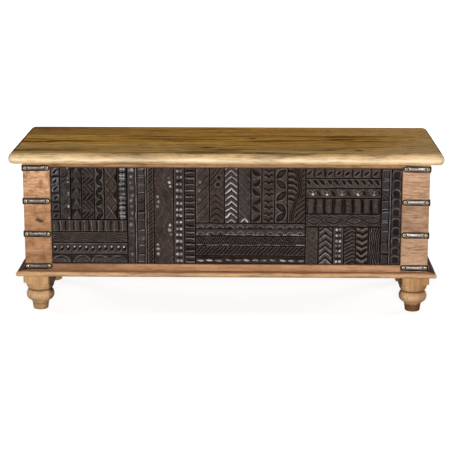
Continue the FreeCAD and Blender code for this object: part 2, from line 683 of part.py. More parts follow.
def hinge_leaf(x_side, onto):
    """A plate with its knuckles, bored for the pin and cut back for the other leaf's knuckles."""
    middle = x_side * HINGE_X
    low_x, high_x = middle - HINGE_LENGTH / 2, middle + HINGE_LENGTH / 2
    if onto == "case":
        plate = block(V(low_x, CASE_Y, HINGE_Z - HINGE_LEAF_WIDTH),
                      V(high_x, CASE_Y + HINGE_LEAF_THICKNESS, HINGE_Z))
        own = 0
    else:
        plate = block(V(low_x, HINGE_Y, RIM_Z - HINGE_LEAF_THICKNESS),
                      V(high_x, HINGE_Y + HINGE_LEAF_WIDTH, RIM_Z))
        own = 1
    step = HINGE_LENGTH / HINGE_KNUCKLE_COUNT
    barrels, notches = [], []
    for number in range(HINGE_KNUCKLE_COUNT):
        start = V(low_x + step * number, HINGE_Y, HINGE_Z)
        if number % 2 == own:
            inner = start + V(KNUCKLE_GAP / 2, 0, 0)
            barrels.append(Part.makeCylinder(HINGE_KNUCKLE_RADIUS, step - KNUCKLE_GAP, inner, V(1, 0, 0)))
        else:
            reach = HINGE_KNUCKLE_RADIUS + HINGE_ROOM
            notches.append(block(start - V(0, reach, reach), start + V(step, reach, reach)))
    leaf = plate.cut(notches).fuse(barrels).removeSplitter()
    bore = Part.makeCylinder(HINGE_PIN_RADIUS + PIN_FIT, HINGE_LENGTH + 2 * OVERRUN,
                             V(low_x - OVERRUN, HINGE_Y, HINGE_Z), V(1, 0, 0))
    length = HINGE_LEAF_THICKNESS + HINGE_SCREW_BITE
    holes = [screw(foot, direction, length, BORE_FIT) for foot, direction in hinge_screws(x_side, onto)]
    return leaf.cut([bore] + holes)


def make_hinges():
    """Two butt hinges: one leaf on the back of the case, the other under the lid's overhang."""
    pins = []
    length = HINGE_LEAF_THICKNESS + HINGE_SCREW_BITE - BORE_FIT
    for side, x_side in SIDES:
        for onto in ("case", "lid"):
            save("hinge_leaf_" + onto + "_" + side, hinge_leaf(x_side, onto))
        along = V(1, 0, 0)
        middle = V(x_side * HINGE_X, HINGE_Y, HINGE_Z)
        pin = Part.makeCylinder(HINGE_PIN_RADIUS, HINGE_LENGTH, middle - along * (HINGE_LENGTH / 2), along)
        for way in (along, -along):
            end = middle + way * (HINGE_LENGTH / 2)
            pin = pin.fuse(Part.makeCylinder(HINGE_PIN_CAP_RADIUS, HINGE_PIN_CAP_LENGTH, end, way))
        pins.append(pin.removeSplitter())
    save("hinge_pins", *pins)
    for onto in ("case", "lid"):
        screws = []
        for _, x_side in SIDES:
            screws += [screw(foot, direction, length) for foot, direction in hinge_screws(x_side, onto)]
        save("hinge_screws_" + onto, *screws)


os.makedirs("parts", exist_ok=True)
make_lid()
make_battens()
make_front_frame()
make_carved_front()
make_back_and_sides()
make_posts_and_floor()
make_base()
make_feet()
make_straps()
make_hinges()
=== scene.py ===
import math
from functools import partial

import bmesh
import bpy
import numpy as np
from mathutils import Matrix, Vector


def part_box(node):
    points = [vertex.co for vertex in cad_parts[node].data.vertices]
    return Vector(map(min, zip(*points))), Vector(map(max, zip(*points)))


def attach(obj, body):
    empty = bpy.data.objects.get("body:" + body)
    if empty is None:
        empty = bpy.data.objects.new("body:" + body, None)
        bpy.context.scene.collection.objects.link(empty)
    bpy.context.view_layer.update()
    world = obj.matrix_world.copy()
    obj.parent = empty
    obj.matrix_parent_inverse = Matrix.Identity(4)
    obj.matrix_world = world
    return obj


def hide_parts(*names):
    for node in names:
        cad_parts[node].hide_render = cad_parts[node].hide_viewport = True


# A long low storage trunk of mango wood, dressed from its feet up to its lid, in metres.
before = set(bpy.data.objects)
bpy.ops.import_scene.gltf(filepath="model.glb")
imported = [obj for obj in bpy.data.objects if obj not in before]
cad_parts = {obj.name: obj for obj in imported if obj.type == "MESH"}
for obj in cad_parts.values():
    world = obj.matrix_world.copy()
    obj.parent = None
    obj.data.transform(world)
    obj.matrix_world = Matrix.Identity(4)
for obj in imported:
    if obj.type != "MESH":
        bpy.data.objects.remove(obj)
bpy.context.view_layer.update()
MM = 0.001

# Turned feet
# Each foot is one square blank of mango wood, turned on a lathe to a bowl, a tapered bun and a short
# toe, with the top corners left square. It was sanded, waxed and bolted up through the base. Painted
# shade darkens the inner side of each foot, the crease at the neck, the ring above the toe and the
# toe itself, and a painted highlight brightens the middle of the bun.
CORNERS = {"front_left": (-1, -1), "front_right": (1, -1), "back_left": (-1, 1), "back_right": (1, 1)}
GRAIN_TURNS = {"x": (0, 0, 0), "y": (0, 0, -math.pi / 2), "z": (0, math.pi / 2, 0)}
WOOD_IOR = 1.5
WORN_GLOSS = 0.02


def colour(code):
    """A linear colour from an sRGB hex value."""
    linear = []
    for start in (1, 3, 5):
        part = int(code[start:start + 2], 16) / 255
        linear.append(part / 12.92 if part <= 0.04045 else ((part + 0.055) / 1.055) ** 2.4)
    return (*linear, 1)


def add_node(tree, kind, links, output=0, **settings):
    """Adds a node with its settings and returns one output. Each link names an input and gives its value
    or the output to join."""
    node = tree.nodes.new("ShaderNode" + kind)
    for setting, value in settings.items():
        setattr(node, setting, value)
    for socket, value in links.items():
        if isinstance(value, bpy.types.NodeSocket):
            tree.links.new(value, node.inputs[socket])
        else:
            node.inputs[socket].default_value = value
    return node.outputs[output] if node.outputs else None


def new_material(name):
    """An empty material, and the call that adds nodes to it."""
    material = bpy.data.materials.new(name)
    material.use_nodes = True
    material.node_tree.nodes.clear()
    return material, partial(add_node, material.node_tree)


def mango_wood(name, grain, tones, seed, ring=12, streak=13, band=55, knots=(), tone_and_shade_sides=(),
               rubbed="#ecd0a4", figure=(0.85, 0.42, 0.2), roughness=0.55, gloss=0.10, shade_and_highlight_rings=()):
    """Mango wood, sawn, sanded and waxed: soft growth rings, long brown streaks that fade in and out,
    fine lines and short pores along the grain, cloudy patches, paler rubbed edges and dark ends. On the
    lid the paler edge also carries painted light and a painted highlight, and the dark ends are end grain
    with painted shade. Tone and shade sides darken or bleach one side, for a change of tone or as
    painted shade, shade and highlight rings paint shade or a highlight round a turned piece, and the
    figure says how strong the streaks, lines and clouds are. Sizes are millimetres. The pores are drawn
    three times too coarse so that they show."""
    pale, body, dark, brown = [colour(tone) for tone in tones]
    knot_brown = colour("#3c2413")
    grain_stretch, line, pore, cloud = 9, 4.5, 1.6, 24
    knot_stretch, knot_reach, knot_bend = 0.6, 3.2, 0.02
    streaked, lined, clouded = figure
    along = "xyz".index(grain)
    log_scale = [1 / grain_stretch if axis == along else 1 for axis in range(3)]
    knot_scale = [knot_stretch if axis == along else 1 for axis in range(3)]
    material, add = new_material(name)
    place = add("TexCoord", {}, "Object")
    log = add("Mapping", {
        "Vector": place, "Scale": log_scale, "Rotation": GRAIN_TURNS[grain],
        "Location": (seed * 1.37, seed * 0.71, 0.06 + seed * 0.013)})
    eye = 0.0
    for spot, radius in knots:
        away = add("VectorMath", {0: place, 1: spot}, operation="SUBTRACT")
        away = add("VectorMath", {0: away, 1: knot_scale}, operation="MULTIPLY")
        away = add("VectorMath", {0: away}, "Value", operation="LENGTH")
        near = add("MapRange", {
            "Value": away, "From Max": radius * MM * knot_reach, "To Min": 1.0, "To Max": 0.0},
            interpolation_type="SMOOTHSTEP")
        eye = add("Math", {0: near, 1: eye}, operation="MAXIMUM")
    if knots:
        bend = add("Math", {0: eye, 1: knot_bend}, operation="MULTIPLY")
        log = add("VectorMath", {0: log, 1: add("CombineXYZ", {"Z": bend})}, operation="ADD")
    rings = add("TexWave", {
        "Vector": log, "Scale": math.tau / (20 * ring * MM), "Distortion": 9.0, "Detail": 3.0,
        "Detail Scale": 0.45}, "Fac", wave_type="RINGS", rings_direction="X")
    bands, streaks, lines, pores, clouds = [
        add("TexNoise", {"Vector": spread, "Scale": 1 / (size * MM), "Detail": detail, "Roughness": rough})
        for spread, size, detail, rough in (
            (log, band, 3.0, 0.5), (log, streak, 4.0, 0.6), (log, line, 2.0, 0.5), (log, pore, 1.0, 0.5),
            (place, cloud, 4.0, 0.6))]
    layers = [
        (rings, 0.0, 1.0, 0.85, body), (bands, 0.44, 0.66, 0.9, dark),
        (streaks, 0.50, 0.72, streaked, brown), (clouds, 0.46, 0.64, clouded, dark)]
    soft_layers = []
    for axis, clear, full, strength, *tone in tone_and_shade_sides:
        depth = add("SeparateXYZ", {"Vector": place}, axis)
        soft_layers.append((depth, clear, full, strength, colour(tone[0]) if tone else brown))
    # Shade and highlight rings: painted shade or a painted highlight round a turned piece at a height.
    for height, reach, strength, tone in shade_and_highlight_rings:
        away = add("SeparateXYZ", {"Vector": place}, "Z")
        away = add("Math", {0: away, 1: height * MM}, operation="SUBTRACT")
        away = add("Math", {0: away}, operation="ABSOLUTE")
        soft_layers.append((away, reach * MM, 0.0, strength, colour(tone)))
    shade = pale
    for number, (value, clear, full, strength, tone) in enumerate(layers + soft_layers):
        amount = add("MapRange", {
            "Value": value, "From Min": clear, "From Max": full, "To Max": strength},
            interpolation_type="LINEAR" if number < len(layers) else "SMOOTHSTEP")
        shade = add("MixRGB", {"Fac": amount, "Color1": shade, "Color2": tone})
    edge, end = [add("Attribute", {}, "Fac", attribute_name=part) for part in ("edge", "end")]
    # Pale rubbed edges where the edge measure says; on the lid it also carries painted light and a painted
    # highlight.
    bare = add("MapRange", {
        "Value": streaks, "From Min": 0.35, "From Max": 0.65, "To Min": 1.0, "To Max": 0.45})
    bare = add("Math", {0: edge, 1: bare}, operation="MULTIPLY")
    unworn = add("MapRange", {"Value": edge, "To Min": 1.0, "To Max": 0.3})
    # The end measure darkens the ends; on the lid it is end grain with painted shade.
    overlays = [(bare, colour(rubbed)), (end, knot_brown)]
    for value, clear, full, strength in ((lines, 0.48, 0.70, lined), (pores, 0.58, 0.70, 0.5)):
        amount = add("MapRange", {
            "Value": value, "From Min": clear, "From Max": full, "To Max": strength})
        overlays.append((add("Math", {0: amount, 1: unworn}, operation="MULTIPLY"), brown))
    furrow = add("Math", {0: pores, 1: overlays[2][0]}, operation="ADD")
    if knots:
        in_knot = add("MapRange", {"Value": eye, "From Min": 0.72, "From Max": 0.97, "To Max": 0.9})
        overlays.append((in_knot, knot_brown))
    for amount, tone in overlays:
        shade = add("MixRGB", {"Fac": amount, "Color1": shade, "Color2": tone})
    wax = add("MapRange", {
        "Value": streaks, "From Min": 0.3, "From Max": 0.7,
        "To Min": roughness - 0.08, "To Max": roughness + 0.10})
    raised = add("Bump", {"Height": furrow, "Strength": 0.35, "Distance": 0.5 * MM}, invert=True)
    surface = add("BsdfPrincipled", {
        "Base Color": shade, "Roughness": wax, "IOR": WOOD_IOR, "Specular IOR Level": gloss,
        "Normal": raised})
    add("OutputMaterial", {"Surface": surface})
    return material


def dress(node, material):
    """Gives a node of the frame its finish."""
    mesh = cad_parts[node].data
    mesh.materials.clear()
    mesh.materials.append(material)


FOOT_TONES = ("#d5ad82", "#c3986a", "#a0764c", "#4a2c16")
FOOT_FIGURE = (0.15, 0.14, 0.4)
# Rings round each foot by height in millimetres: a painted highlight on the bun, and painted shade in the
# neck crease and above the toe.
FOOT_SHADE_AND_HIGHLIGHT_RINGS = ((46, 13, 0.35, "#e6c39a"), (61, 5, 0.75, "#4a2c16"), (18, 5, 0.4, "#6b4626"))
# Painted shade on the inner side of each foot, which faces away from the lamps under the case.
INNER_SIDE_SHADE_BROWN = "#2a190e"
INNER_SIDE_SHADE_STRENGTH = 0.92
INNER_SIDE_SHADE_REACH = {-1: (0.514, 0.503), 1: (0.508, 0.499)}
# Painted shade on the toes, strongest on the front right foot.
TOE_TOP = 0.028
TOE_FULL = 0.018
TOE_SHADE = {"front_left": 0.25, "front_right": 0.85, "back_left": 0.0, "back_right": 0.0}
for number, (corner, (x_side, y_side)) in enumerate(CORNERS.items()):
    shade_clear, shade_full = INNER_SIDE_SHADE_REACH[x_side]
    inner_side_shade = ("X", x_side * shade_clear, x_side * shade_full, INNER_SIDE_SHADE_STRENGTH, INNER_SIDE_SHADE_BROWN)
    toe = ("Z", TOE_TOP, TOE_FULL, TOE_SHADE[corner])
    turned_mango = mango_wood(
        "turned_waxed_mango_wood_" + corner, "z", FOOT_TONES, 2 + 4 * number, ring=20, streak=18,
        tone_and_shade_sides=(inner_side_shade, toe), figure=FOOT_FIGURE, gloss=WORN_GLOSS, shade_and_highlight_rings=FOOT_SHADE_AND_HIGHLIGHT_RINGS)
    dress("foot_" + corner, turned_mango)

# Base moulding
# Four lengths of mango wood planed to a rounded nose, mitred at the corners and lying on the feet.
# The nose is rubbed pale and has lost a few splinters below. Painted shade lies dark on the two end
# ledges, under the lid's overhang.
BASE_TONES = ("#d8a67a", "#c48e62", "#986640", "#63402a")
LEDGE_SHADE = "#1c140d"
NOSE_FLAT = 2 * MM
NOSE_WEAR = 0.36
BASE_STATION = 6 * MM
BASE_WOBBLE = 0.5 * MM
CHIPS = ((-0.527, 0.016, 0.0035), (-0.496, 0.009, 0.0025), (0.105, 0.012, 0.002), (0.571, 0.005, 0.003))
CHIPPED_SHARE = 0.3


def smooth_noise(seed, size, cell):
    """Seeded noise from -1 to 1 on a grid of points, with cells that many points long and wide."""
    draws = np.random.default_rng(seed)
    rows = np.arange(size[0]) / cell[0]
    columns = np.arange(size[1]) / cell[1]
    row, column = rows.astype(int), columns.astype(int)
    heights = draws.uniform(-1, 1, (row[-1] + 2, column[-1] + 2))
    down = (rows - row)[:, None]
    across = (columns - column)[None, :]
    down = down * down * (3 - 2 * down)
    across = across * across * (3 - 2 * across)
    upper = heights[row][:, column] * (1 - across) + heights[row][:, column + 1] * across
    lower = heights[row + 1][:, column] * (1 - across) + heights[row + 1][:, column + 1] * across
    return upper * (1 - down) + lower * down


def set_piece(name, mesh, material, body, node, smooth_angle):
    """Smooths a mesh and sets it on a body in the place of a node of the frame."""
    mesh.shade_smooth()
    mesh.set_sharp_from_angle(angle=math.radians(smooth_angle))
    mesh.materials.append(material)
    piece = bpy.data.objects.new(name, mesh)
    bpy.context.scene.collection.objects.link(piece)
    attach(piece, body)
    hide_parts(node)


def add_piece(name, points, faces, material, slot, node, smooth_angle=40, **measures):
    """A piece of the case from points and faces, with a number at each point for each measure given."""
    mesh = bpy.data.meshes.new(name)
    mesh.from_pydata([tuple(point) for point in points], [], faces)
    bm = bmesh.new()
    bm.from_mesh(mesh)
    bmesh.ops.recalc_face_normals(bm, faces=bm.faces)
    bm.to_mesh(mesh)
    bm.free()
    for measure, values in measures.items():
        layer = mesh.attributes.new(measure, "FLOAT", "POINT")
        layer.data.foreach_set("value", np.asarray(values, np.float32).ravel())
    set_piece(name, mesh, material, "case", node, smooth_angle)


def tube_faces(stations, ring):
    """Faces of a closed bar: rings of points joined from station to station, with both ends shut."""
    faces = []
    for station in range(stations - 1):
        for place in range(ring):
            start = station * ring + place
            after = station * ring + (place + 1) % ring
            faces.append((start, after, after + ring, start + ring))
    faces.append(tuple(range(ring)))
    faces.append(tuple((stations - 1) * ring + place for place in range(ring)))
    return faces


def base_profile(width, thickness):
    """The moulding's section as (distance behind the nose, height, wear), from the inner top edge."""
    radius = (thickness - NOSE_FLAT) / 2
    arc = [(math.sin(math.radians(turn)), math.cos(math.radians(turn))) for turn in range(0, 91, 15)]
    upper = [(radius - radius * sine, thickness - radius + radius * cosine) for sine, cosine in arc]
    lower = [(radius - radius * cosine, radius - radius * sine) for sine, cosine in arc]
    section = [(width, thickness), (width / 2, thickness)] + upper + lower + [(width / 2, 0), (width, 0)]
    return [(back, height, max(0, 1 - back / radius)) for back, height in section]


def base_length(side, turns, seed):
    """One mitred length, made along the front and turned to its side."""
    low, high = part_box("base_moulding_" + side)
    front_low, front_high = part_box("base_moulding_front")
    run = (high.x - low.x if turns % 2 == 0 else high.y - low.y) / 2
    nose = {0: -low.y, 1: high.x, 2: high.y, 3: -low.x}[turns]
    section = base_profile(front_high.y - front_low.y, high.z - low.z)
    stations = np.linspace(-1, 1, int(2 * run / BASE_STATION))
    wobble = smooth_noise(seed, (len(stations), len(section)), (13, 6)) * BASE_WOBBLE
    cosine, sine = round(math.cos(turns * math.pi / 2)), round(math.sin(turns * math.pi / 2))
    points = []
    for number, station in enumerate(stations):
        for place, (back, height, worn) in enumerate(section):
            along = station * (run - back)
            inward = back + (BASE_WOBBLE + wobble[number, place]) * worn
            if side == "front" and height < CHIPPED_SHARE * (high.z - low.z):
                chip = sum(deep * math.exp(-((along - at) / wide) ** 4) for at, wide, deep in CHIPS)
                height += chip * worn
                inward += chip * worn
            x, y = along, inward - nose
            points.append((x * cosine - y * sine, x * sine + y * cosine, low.z + height))
    wear = [NOSE_WEAR * worn for back, height, worn in section] * len(stations)
    return points, tube_faces(len(stations), len(section)), wear


base_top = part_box("base_moulding_front")[1].z
# Painted shade on the two end ledges, which lie under the lid's overhang.
shaded_ledge = ("Z", base_top - 1.2 * MM, base_top - 0.3 * MM, 0.9, LEDGE_SHADE)
heart_end = ("X", 0.15, 0.50, 0.22)
for turns, side in enumerate(("front", "right", "back", "left")):
    points, faces, wear = base_length(side, turns, 40 + turns)
    grain, tone_and_shade, gloss = ("y", shaded_ledge, WORN_GLOSS) if turns % 2 else ("x", heart_end, 0.10)
    planed_mango = mango_wood("planed_mango_wood_base_" + side, grain, BASE_TONES, 5 + turns,
                              ring=9, streak=8, tone_and_shade_sides=(tone_and_shade,), gloss=gloss)
    add_piece("base_nosing_" + side, points, faces, planed_mango, "case_mango_wood",
              "base_moulding_" + side, edge=wear)

# Floor and its bearers
# Plain mango boards lie across the case on two flat bearers tenoned into the base. They were sawn and
# planed but never waxed, so they are paler, drier and rougher than the outside.
INNER_TONES = ("#d9bb90", "#c9a678", "#a67f52", "#7c5934")
BARE_ROUGH = 0.75
EASED = 1.2 * MM
PART_EASED = 0.3 * EASED
NEAR_EDGE = 5 * MM
EDGE_WEAR = 0.3
BOARD_STATION = 20 * MM
BOARD_WAVE = 0.25 * MM


def board(name, node, along, material, slot, seed):
    """A planed board in a node's place: eased edges, faces a little wavy, and wear along the edges."""
    low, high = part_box(node)
    order = [along] + [axis for axis in range(3) if axis != along]
    length, wide, thick = [high[axis] - low[axis] for axis in order]
    half_wide, half_thick = wide / 2, thick / 2
    arc = [(math.cos(turn), math.sin(turn)) for turn in (0, math.pi / 4, math.pi / 2)]
    section = []
    for sign_wide, sign_thick in ((1, 1), (-1, 1), (-1, -1), (1, -1)):
        corner_points = [(half_wide, half_thick - min(NEAR_EDGE, half_thick / 2), 0)]
        corner_points += [
            (half_wide - EASED * (1 - cosine), half_thick - EASED * (1 - sine), 1) for cosine, sine in arc]
        corner_points += [(half_wide - min(NEAR_EDGE, half_wide / 2), half_thick, 0)]
        if sign_wide * sign_thick < 0:
            corner_points.reverse()
        section += [(wide * sign_wide, thick * sign_thick, worn) for wide, thick, worn in corner_points]
    count = max(2, int(length / BOARD_STATION))
    inner = np.linspace(EASED + NEAR_EDGE, length - EASED - NEAR_EDGE, count)
    stations = [0, PART_EASED, EASED, *inner, length - EASED, length - PART_EASED, length]
    shrink = [EASED, PART_EASED, 0] + [0] * count + [0, PART_EASED, EASED]
    at_end = (1, 2, len(stations) - 3, len(stations) - 2)
    wave = smooth_noise(seed, (len(stations), len(section)), (6, 5)) * BOARD_WAVE
    points = []
    wear = []
    for number, (station, inset) in enumerate(zip(stations, shrink)):
        for place, (wide, thick, worn) in enumerate(section):
            inward = inset + (BOARD_WAVE + wave[number, place]) * worn
            spot = [0, 0, 0]
            spot[order[0]] = low[order[0]] + station
            spot[order[1]] = low[order[1]] + half_wide + wide - math.copysign(inward, wide)
            spot[order[2]] = low[order[2]] + half_thick + thick - math.copysign(inward, thick)
            points.append(spot)
            wear.append(EDGE_WEAR * max(worn, number in at_end))
    add_piece(name, points, tube_faces(len(stations), len(section)), material, slot, node, edge=wear)


for number in (1, 2, 3):
    sawn_mango = mango_wood(f"sawn_bare_mango_wood_floor_{number}", "x", INNER_TONES, 10 + number,
                            roughness=BARE_ROUGH)
    board(f"floor_plank_{number}", f"floor_board_{number}", 0, sawn_mango, "inner_mango_wood", 50 + number)
bearer_mango = mango_wood("sawn_bare_mango_wood_bearers", "y", INNER_TONES, 14, roughness=BARE_ROUGH)
for side in ("left", "right"):
    dress("floor_bearer_" + side, bearer_mango)

# Foot bolts
# Plain steel bolts, one up through each foot, base and floor into the corner post. Nothing of them
# shows on the closed trunk: bright zinc over drawn rod.


def drawn_steel(name, tone, roughness):
    """Steel rod or wire, drawn and lightly oxidised: an even grey with cloudy patches."""
    patch = 4
    material, add = new_material(name)
    place = add("TexCoord", {}, "Object")
    cloud = add("TexNoise", {"Vector": place, "Scale": 1 / (patch * MM), "Detail": 3.0})
    shade = add("MixRGB", {"Fac": cloud, "Color1": colour(tone), "Color2": colour("#55504a")})
    dull = add("MapRange", {"Value": cloud, "To Min": roughness - 0.1, "To Max": roughness + 0.15})
    surface = add("BsdfPrincipled", {"Base Color": shade, "Metallic": 1.0, "Roughness": dull})
    add("OutputMaterial", {"Surface": surface})
    return material


dress("foot_bolts", drawn_steel("drawn_zinc_steel", "#b9b7b2", 0.4))

# Corner posts
# A square post of sawn mango wood stands on the floor in each inner corner. The walls are glued to it,
# and the foot bolt ends in it.
post_mango = mango_wood("sawn_bare_mango_wood_posts", "z", INNER_TONES, 17, roughness=BARE_ROUGH)
for number, corner in enumerate(CORNERS):
    board("inner_post_" + corner, "corner_post_" + corner, 2, post_mango, "inner_mango_wood", 60 + number)

# Side and back walls
# Three mango boards to each wall, butted edge to edge and glued to the posts. They were planed, sanded
# and waxed outside like the front frame, so brown streaks and soft rings show.
WALL_TONES = ("#cda079", "#ba8b64", "#936a48", "#6a472d")
WALL_GRAIN = {"ring": 16, "streak": 18}
for number, part in enumerate(("lower", "middle", "upper")):
    back_mango = mango_wood("waxed_mango_wood_back_" + part, "x", WALL_TONES, 20 + number, **WALL_GRAIN)
    board("back_wall_" + part, "back_board_" + part, 0, back_mango, "case_mango_wood", 70 + number)
    for turn, side in enumerate(("left", "right")):
        seed = 24 + 2 * number + turn
        side_mango = mango_wood(f"waxed_mango_wood_{side}_{part}", "y", WALL_TONES, seed, **WALL_GRAIN)
        board(f"{side}_wall_{part}", f"{side}_side_board_{part}", 1, side_mango, "case_mango_wood", 80 + seed)

# Front frame
# Two stiles and two tenoned rails round the carved field, of pinkish waxed mango wood. The grain runs
# level, also across the stiles, with a few dark knots. The frame is darker along its edges next to the
# carving, and the top rail's tones are darkened as painted shade of the lid.
LEFT_TONES = ("#dbab82", "#c8976f", "#9a6b46", "#64402a")
RIGHT_TONES = ("#dcb08d", "#c79d7b", "#9d7b62", "#6a4e3a")
RAIL_TONES = ("#d8a880", "#c5966e", "#9c704e", "#4a2f1f")
TOP_RAIL_SHADED_TONES = ("#bd9068", "#aa7e58", "#866041", "#4a2f1f")
# The stiles and rails are darker along their edges next to the carving.
FIELD_EDGE_BROWN = "#4a3022"
STILE_GRAIN = {"ring": 22, "streak": 14, "band": 60, "rubbed": "#a87c58"}
LEFT_KNOTS = (((-0.5330, -0.1925, 0.2700), 5.5), ((-0.5262, -0.1925, 0.2668), 6.0))
field_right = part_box("front_stile_right")[0].x
field_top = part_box("front_top_rail")[0].z
field_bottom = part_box("front_bottom_rail")[1].z
left_mango = mango_wood(
    "waxed_mango_wood_stile_left", "x", LEFT_TONES, 33, **STILE_GRAIN, knots=LEFT_KNOTS,
    figure=(0.4, 0.4, 0.95),
    tone_and_shade_sides=(("Z", 0.36, 0.20, 0.22), ("Z", 0.178, 0.174, 0.36),
            ("X", -field_right - 5 * MM, -field_right, 0.85, FIELD_EDGE_BROWN)))
right_mango = mango_wood(
    "waxed_mango_wood_stile_right", "x", RIGHT_TONES, 36, **STILE_GRAIN, figure=(0.6, 0.75, 0.6),
    tone_and_shade_sides=(("Z", 0.328, 0.318, 0.42), ("Z", 0.245, 0.222, 0.45, "#d8ad8a"),
            ("X", field_right + 4 * MM, field_right, 0.85, FIELD_EDGE_BROWN)))
board("stile_left", "front_stile_left", 2, left_mango, "case_mango_wood", 91)
board("stile_right", "front_stile_right", 2, right_mango, "case_mango_wood", 92)
# The top rail's darker tones are painted shade of the lid; it is also darker along its lower edge, next to
# the carving.
dress("front_top_rail", mango_wood(
    "waxed_mango_wood_top_rail", "x", TOP_RAIL_SHADED_TONES, 38, ring=10, streak=8,
    tone_and_shade_sides=(("Z", field_top + 4.5 * MM, field_top, 0.9),)))
dress("front_bottom_rail", mango_wood(
    "waxed_mango_wood_bottom_rail", "x", RAIL_TONES, 39, ring=10, streak=8, figure=(0.4, 0.3, 0.3),
    tone_and_shade_sides=(("X", -0.20, -0.42, 0.5), ("X", 0.30, 0.46, 0.22),
            # Darker along its upper edge, next to the carving.
            ("Z", field_bottom - 4 * MM, field_bottom, 0.85))))

# Backing board
# A thin sawn board behind the frame, to which the carved strips are glued. The stain of the strips has
# run through their seams and blackened its front.
STAINED_TONES = INNER_TONES[:3] + ("#15100d",)
backing_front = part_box("front_backing_board")[0].y
backing_mango = mango_wood("sawn_bare_mango_wood_backing", "x", STAINED_TONES, 41, roughness=0.8,
                           tone_and_shade_sides=(("Y", backing_front + 4 * MM, backing_front + 2 * MM, 0.98),))
board("backing", "front_backing_board", 0, backing_mango, "inner_mango_wood", 95)

# Carved strips
# Narrow strips of old hardwood, each cut by knife and gouge with its own border pattern, stained nearly
# black and glued edge to edge. The cuts are black, the edges rubbed grey, and some keep old whitewash.
CARVING_STEP = 1.0
STRIP_SEAM = 0.8
STRIP_EASE = 1.6
STRIP_SINK = 2.0
GROUND_SHARE = 0.70
HAND_WOBBLE = 1.7
HAND_SLIP_SHARE = 0.09
FADED_DEPTH = 3.0


def rise(value, start, end):
    """0 before start, 1 after end and a smooth slope between."""
    share = np.clip((value - start) / (end - start), 0, 1)
    return share * share * (3 - 2 * share)


class Strip:
    """A strip's face as a grid of points, in millimetres along it and across it from its middle line. The
    repeats of its pattern part it into cells: step is how far a point lies past the middle of its cell, gap
    how far from the cell's border, turn goes 1 and -1 from cell to cell, and luck is one draw for each cell.
    High is its share of the length, wing, left and right its distances from the middle line and the edges,
    and kept is where the old surface hasn't worn off."""

    def __init__(self, length, width, repeats, seed):
        self.size = (int(length / CARVING_STEP) + 1, int(width / CARVING_STEP) + 1)
        self.length = length
        self.width = width
        self.half = width / 2
        lengthwise = np.linspace(0, length, self.size[0])
        sideways = np.linspace(-self.half, self.half, self.size[1])
        along, across = np.meshgrid(lengthwise, sideways, indexing="ij")
        self.to_end = np.minimum(along, length - along)
        self.to_side = self.half - np.abs(across)
        self.along = along + smooth_noise(seed, self.size, (14, 14)) * HAND_WOBBLE
        self.across = across + smooth_noise(seed + 1, self.size, (14, 14)) * HAND_WOBBLE
        self.pitch = length / repeats
        draws = np.random.default_rng(seed)
        cell = np.clip(np.floor(self.along / self.pitch), 0, repeats - 1).astype(int)
        slips = draws.uniform(-HAND_SLIP_SHARE, HAND_SLIP_SHARE, repeats) * self.pitch
        self.luck = draws.uniform(0, 1, repeats)[cell]
        self.step = self.along - (cell + 0.5) * self.pitch + slips[cell]
        self.turn = np.where(cell % 2 == 0, 1, -1)
        self.kept = rise(smooth_noise(seed + 6, self.size, (9, 9)), -0.5, 0.3)
        self.gap = self.pitch / 2 - np.abs(self.step)
        self.high = self.along / length
        self.wing = np.abs(self.across)
        self.left = self.half + self.across
        self.right = self.half - self.across


def cut(distance, half_width):
    """A knife cut along the places where a distance is zero: 1 at its bottom, 0 outside it."""
    return np.clip(2 - 2 * np.abs(distance) / half_width, 0, 1)


def cuts_beside(distance, spacing, half_width):
    """Knife cuts side by side."""
    return cut(np.mod(distance, spacing) - spacing / 2, half_width)


def lip(distance, half_width):
    """A thin raised line, such as the edge a blade leaves beside its cut."""
    return 1 - rise(np.abs(distance), 0.4 * half_width, 1.3 * half_width)


def between(value, start, full, fading, end):
    """1 between full and fading, and 0 before start and after end."""
    return rise(value, start, full) * (1 - rise(value, fading, end))


def dome(x, y, radius):
    """A round boss or hollow: 1 in its middle, 0 at its rim."""
    return np.sqrt(np.clip(1 - (x * x + y * y) / radius ** 2, 0, 1))


def carved(cuts, lips=0.0, bosses=0.0):
    """The height of a flat ground with cuts sunk into it, and lips and bosses standing on it."""
    ground = GROUND_SHARE * (1 - np.clip(cuts, 0, 1)) + (1 - GROUND_SHARE) * np.clip(lips, 0, 1)
    return np.maximum(ground, bosses)


def leaf_rim(x, y, half_length, half_width):
    """How far a point lies outside a pointed leaf's outline, in millimetres, and less than 0 inside it."""
    return np.abs(y) - half_width * (1 - np.clip(x / half_length, -1.6, 1.6) ** 2)


def turned(x, y, degrees):
    """A point seen from axes turned by an angle."""
    turn = np.radians(degrees)
    return x * np.cos(turn) + y * np.sin(turn), y * np.cos(turn) - x * np.sin(turn)


# Each pattern takes a strip s, and gives the height of its points, from 0 to 1, and the whitewash on them.
def leaf_squares(s):
    """Small squares parted by cuts, each with a slanted leaf cut into it."""
    size = min(s.pitch, s.width) / 2
    rim = leaf_rim(*turned(s.step, s.across, 40), 0.8 * size, 0.34 * size)
    cuts = np.maximum(cut(s.gap, 2.2), 1 - rise(rim, -2.6, -0.2))
    washed = (0.15 + 0.85 * lip(rim - 1.8, 2.0)) * s.kept * rise(s.high, 0.2, 0.7)
    return carved(cuts, lip(rim - 1.4, 1.2)), (1 - rise(cuts, 0, 0.5)) * washed


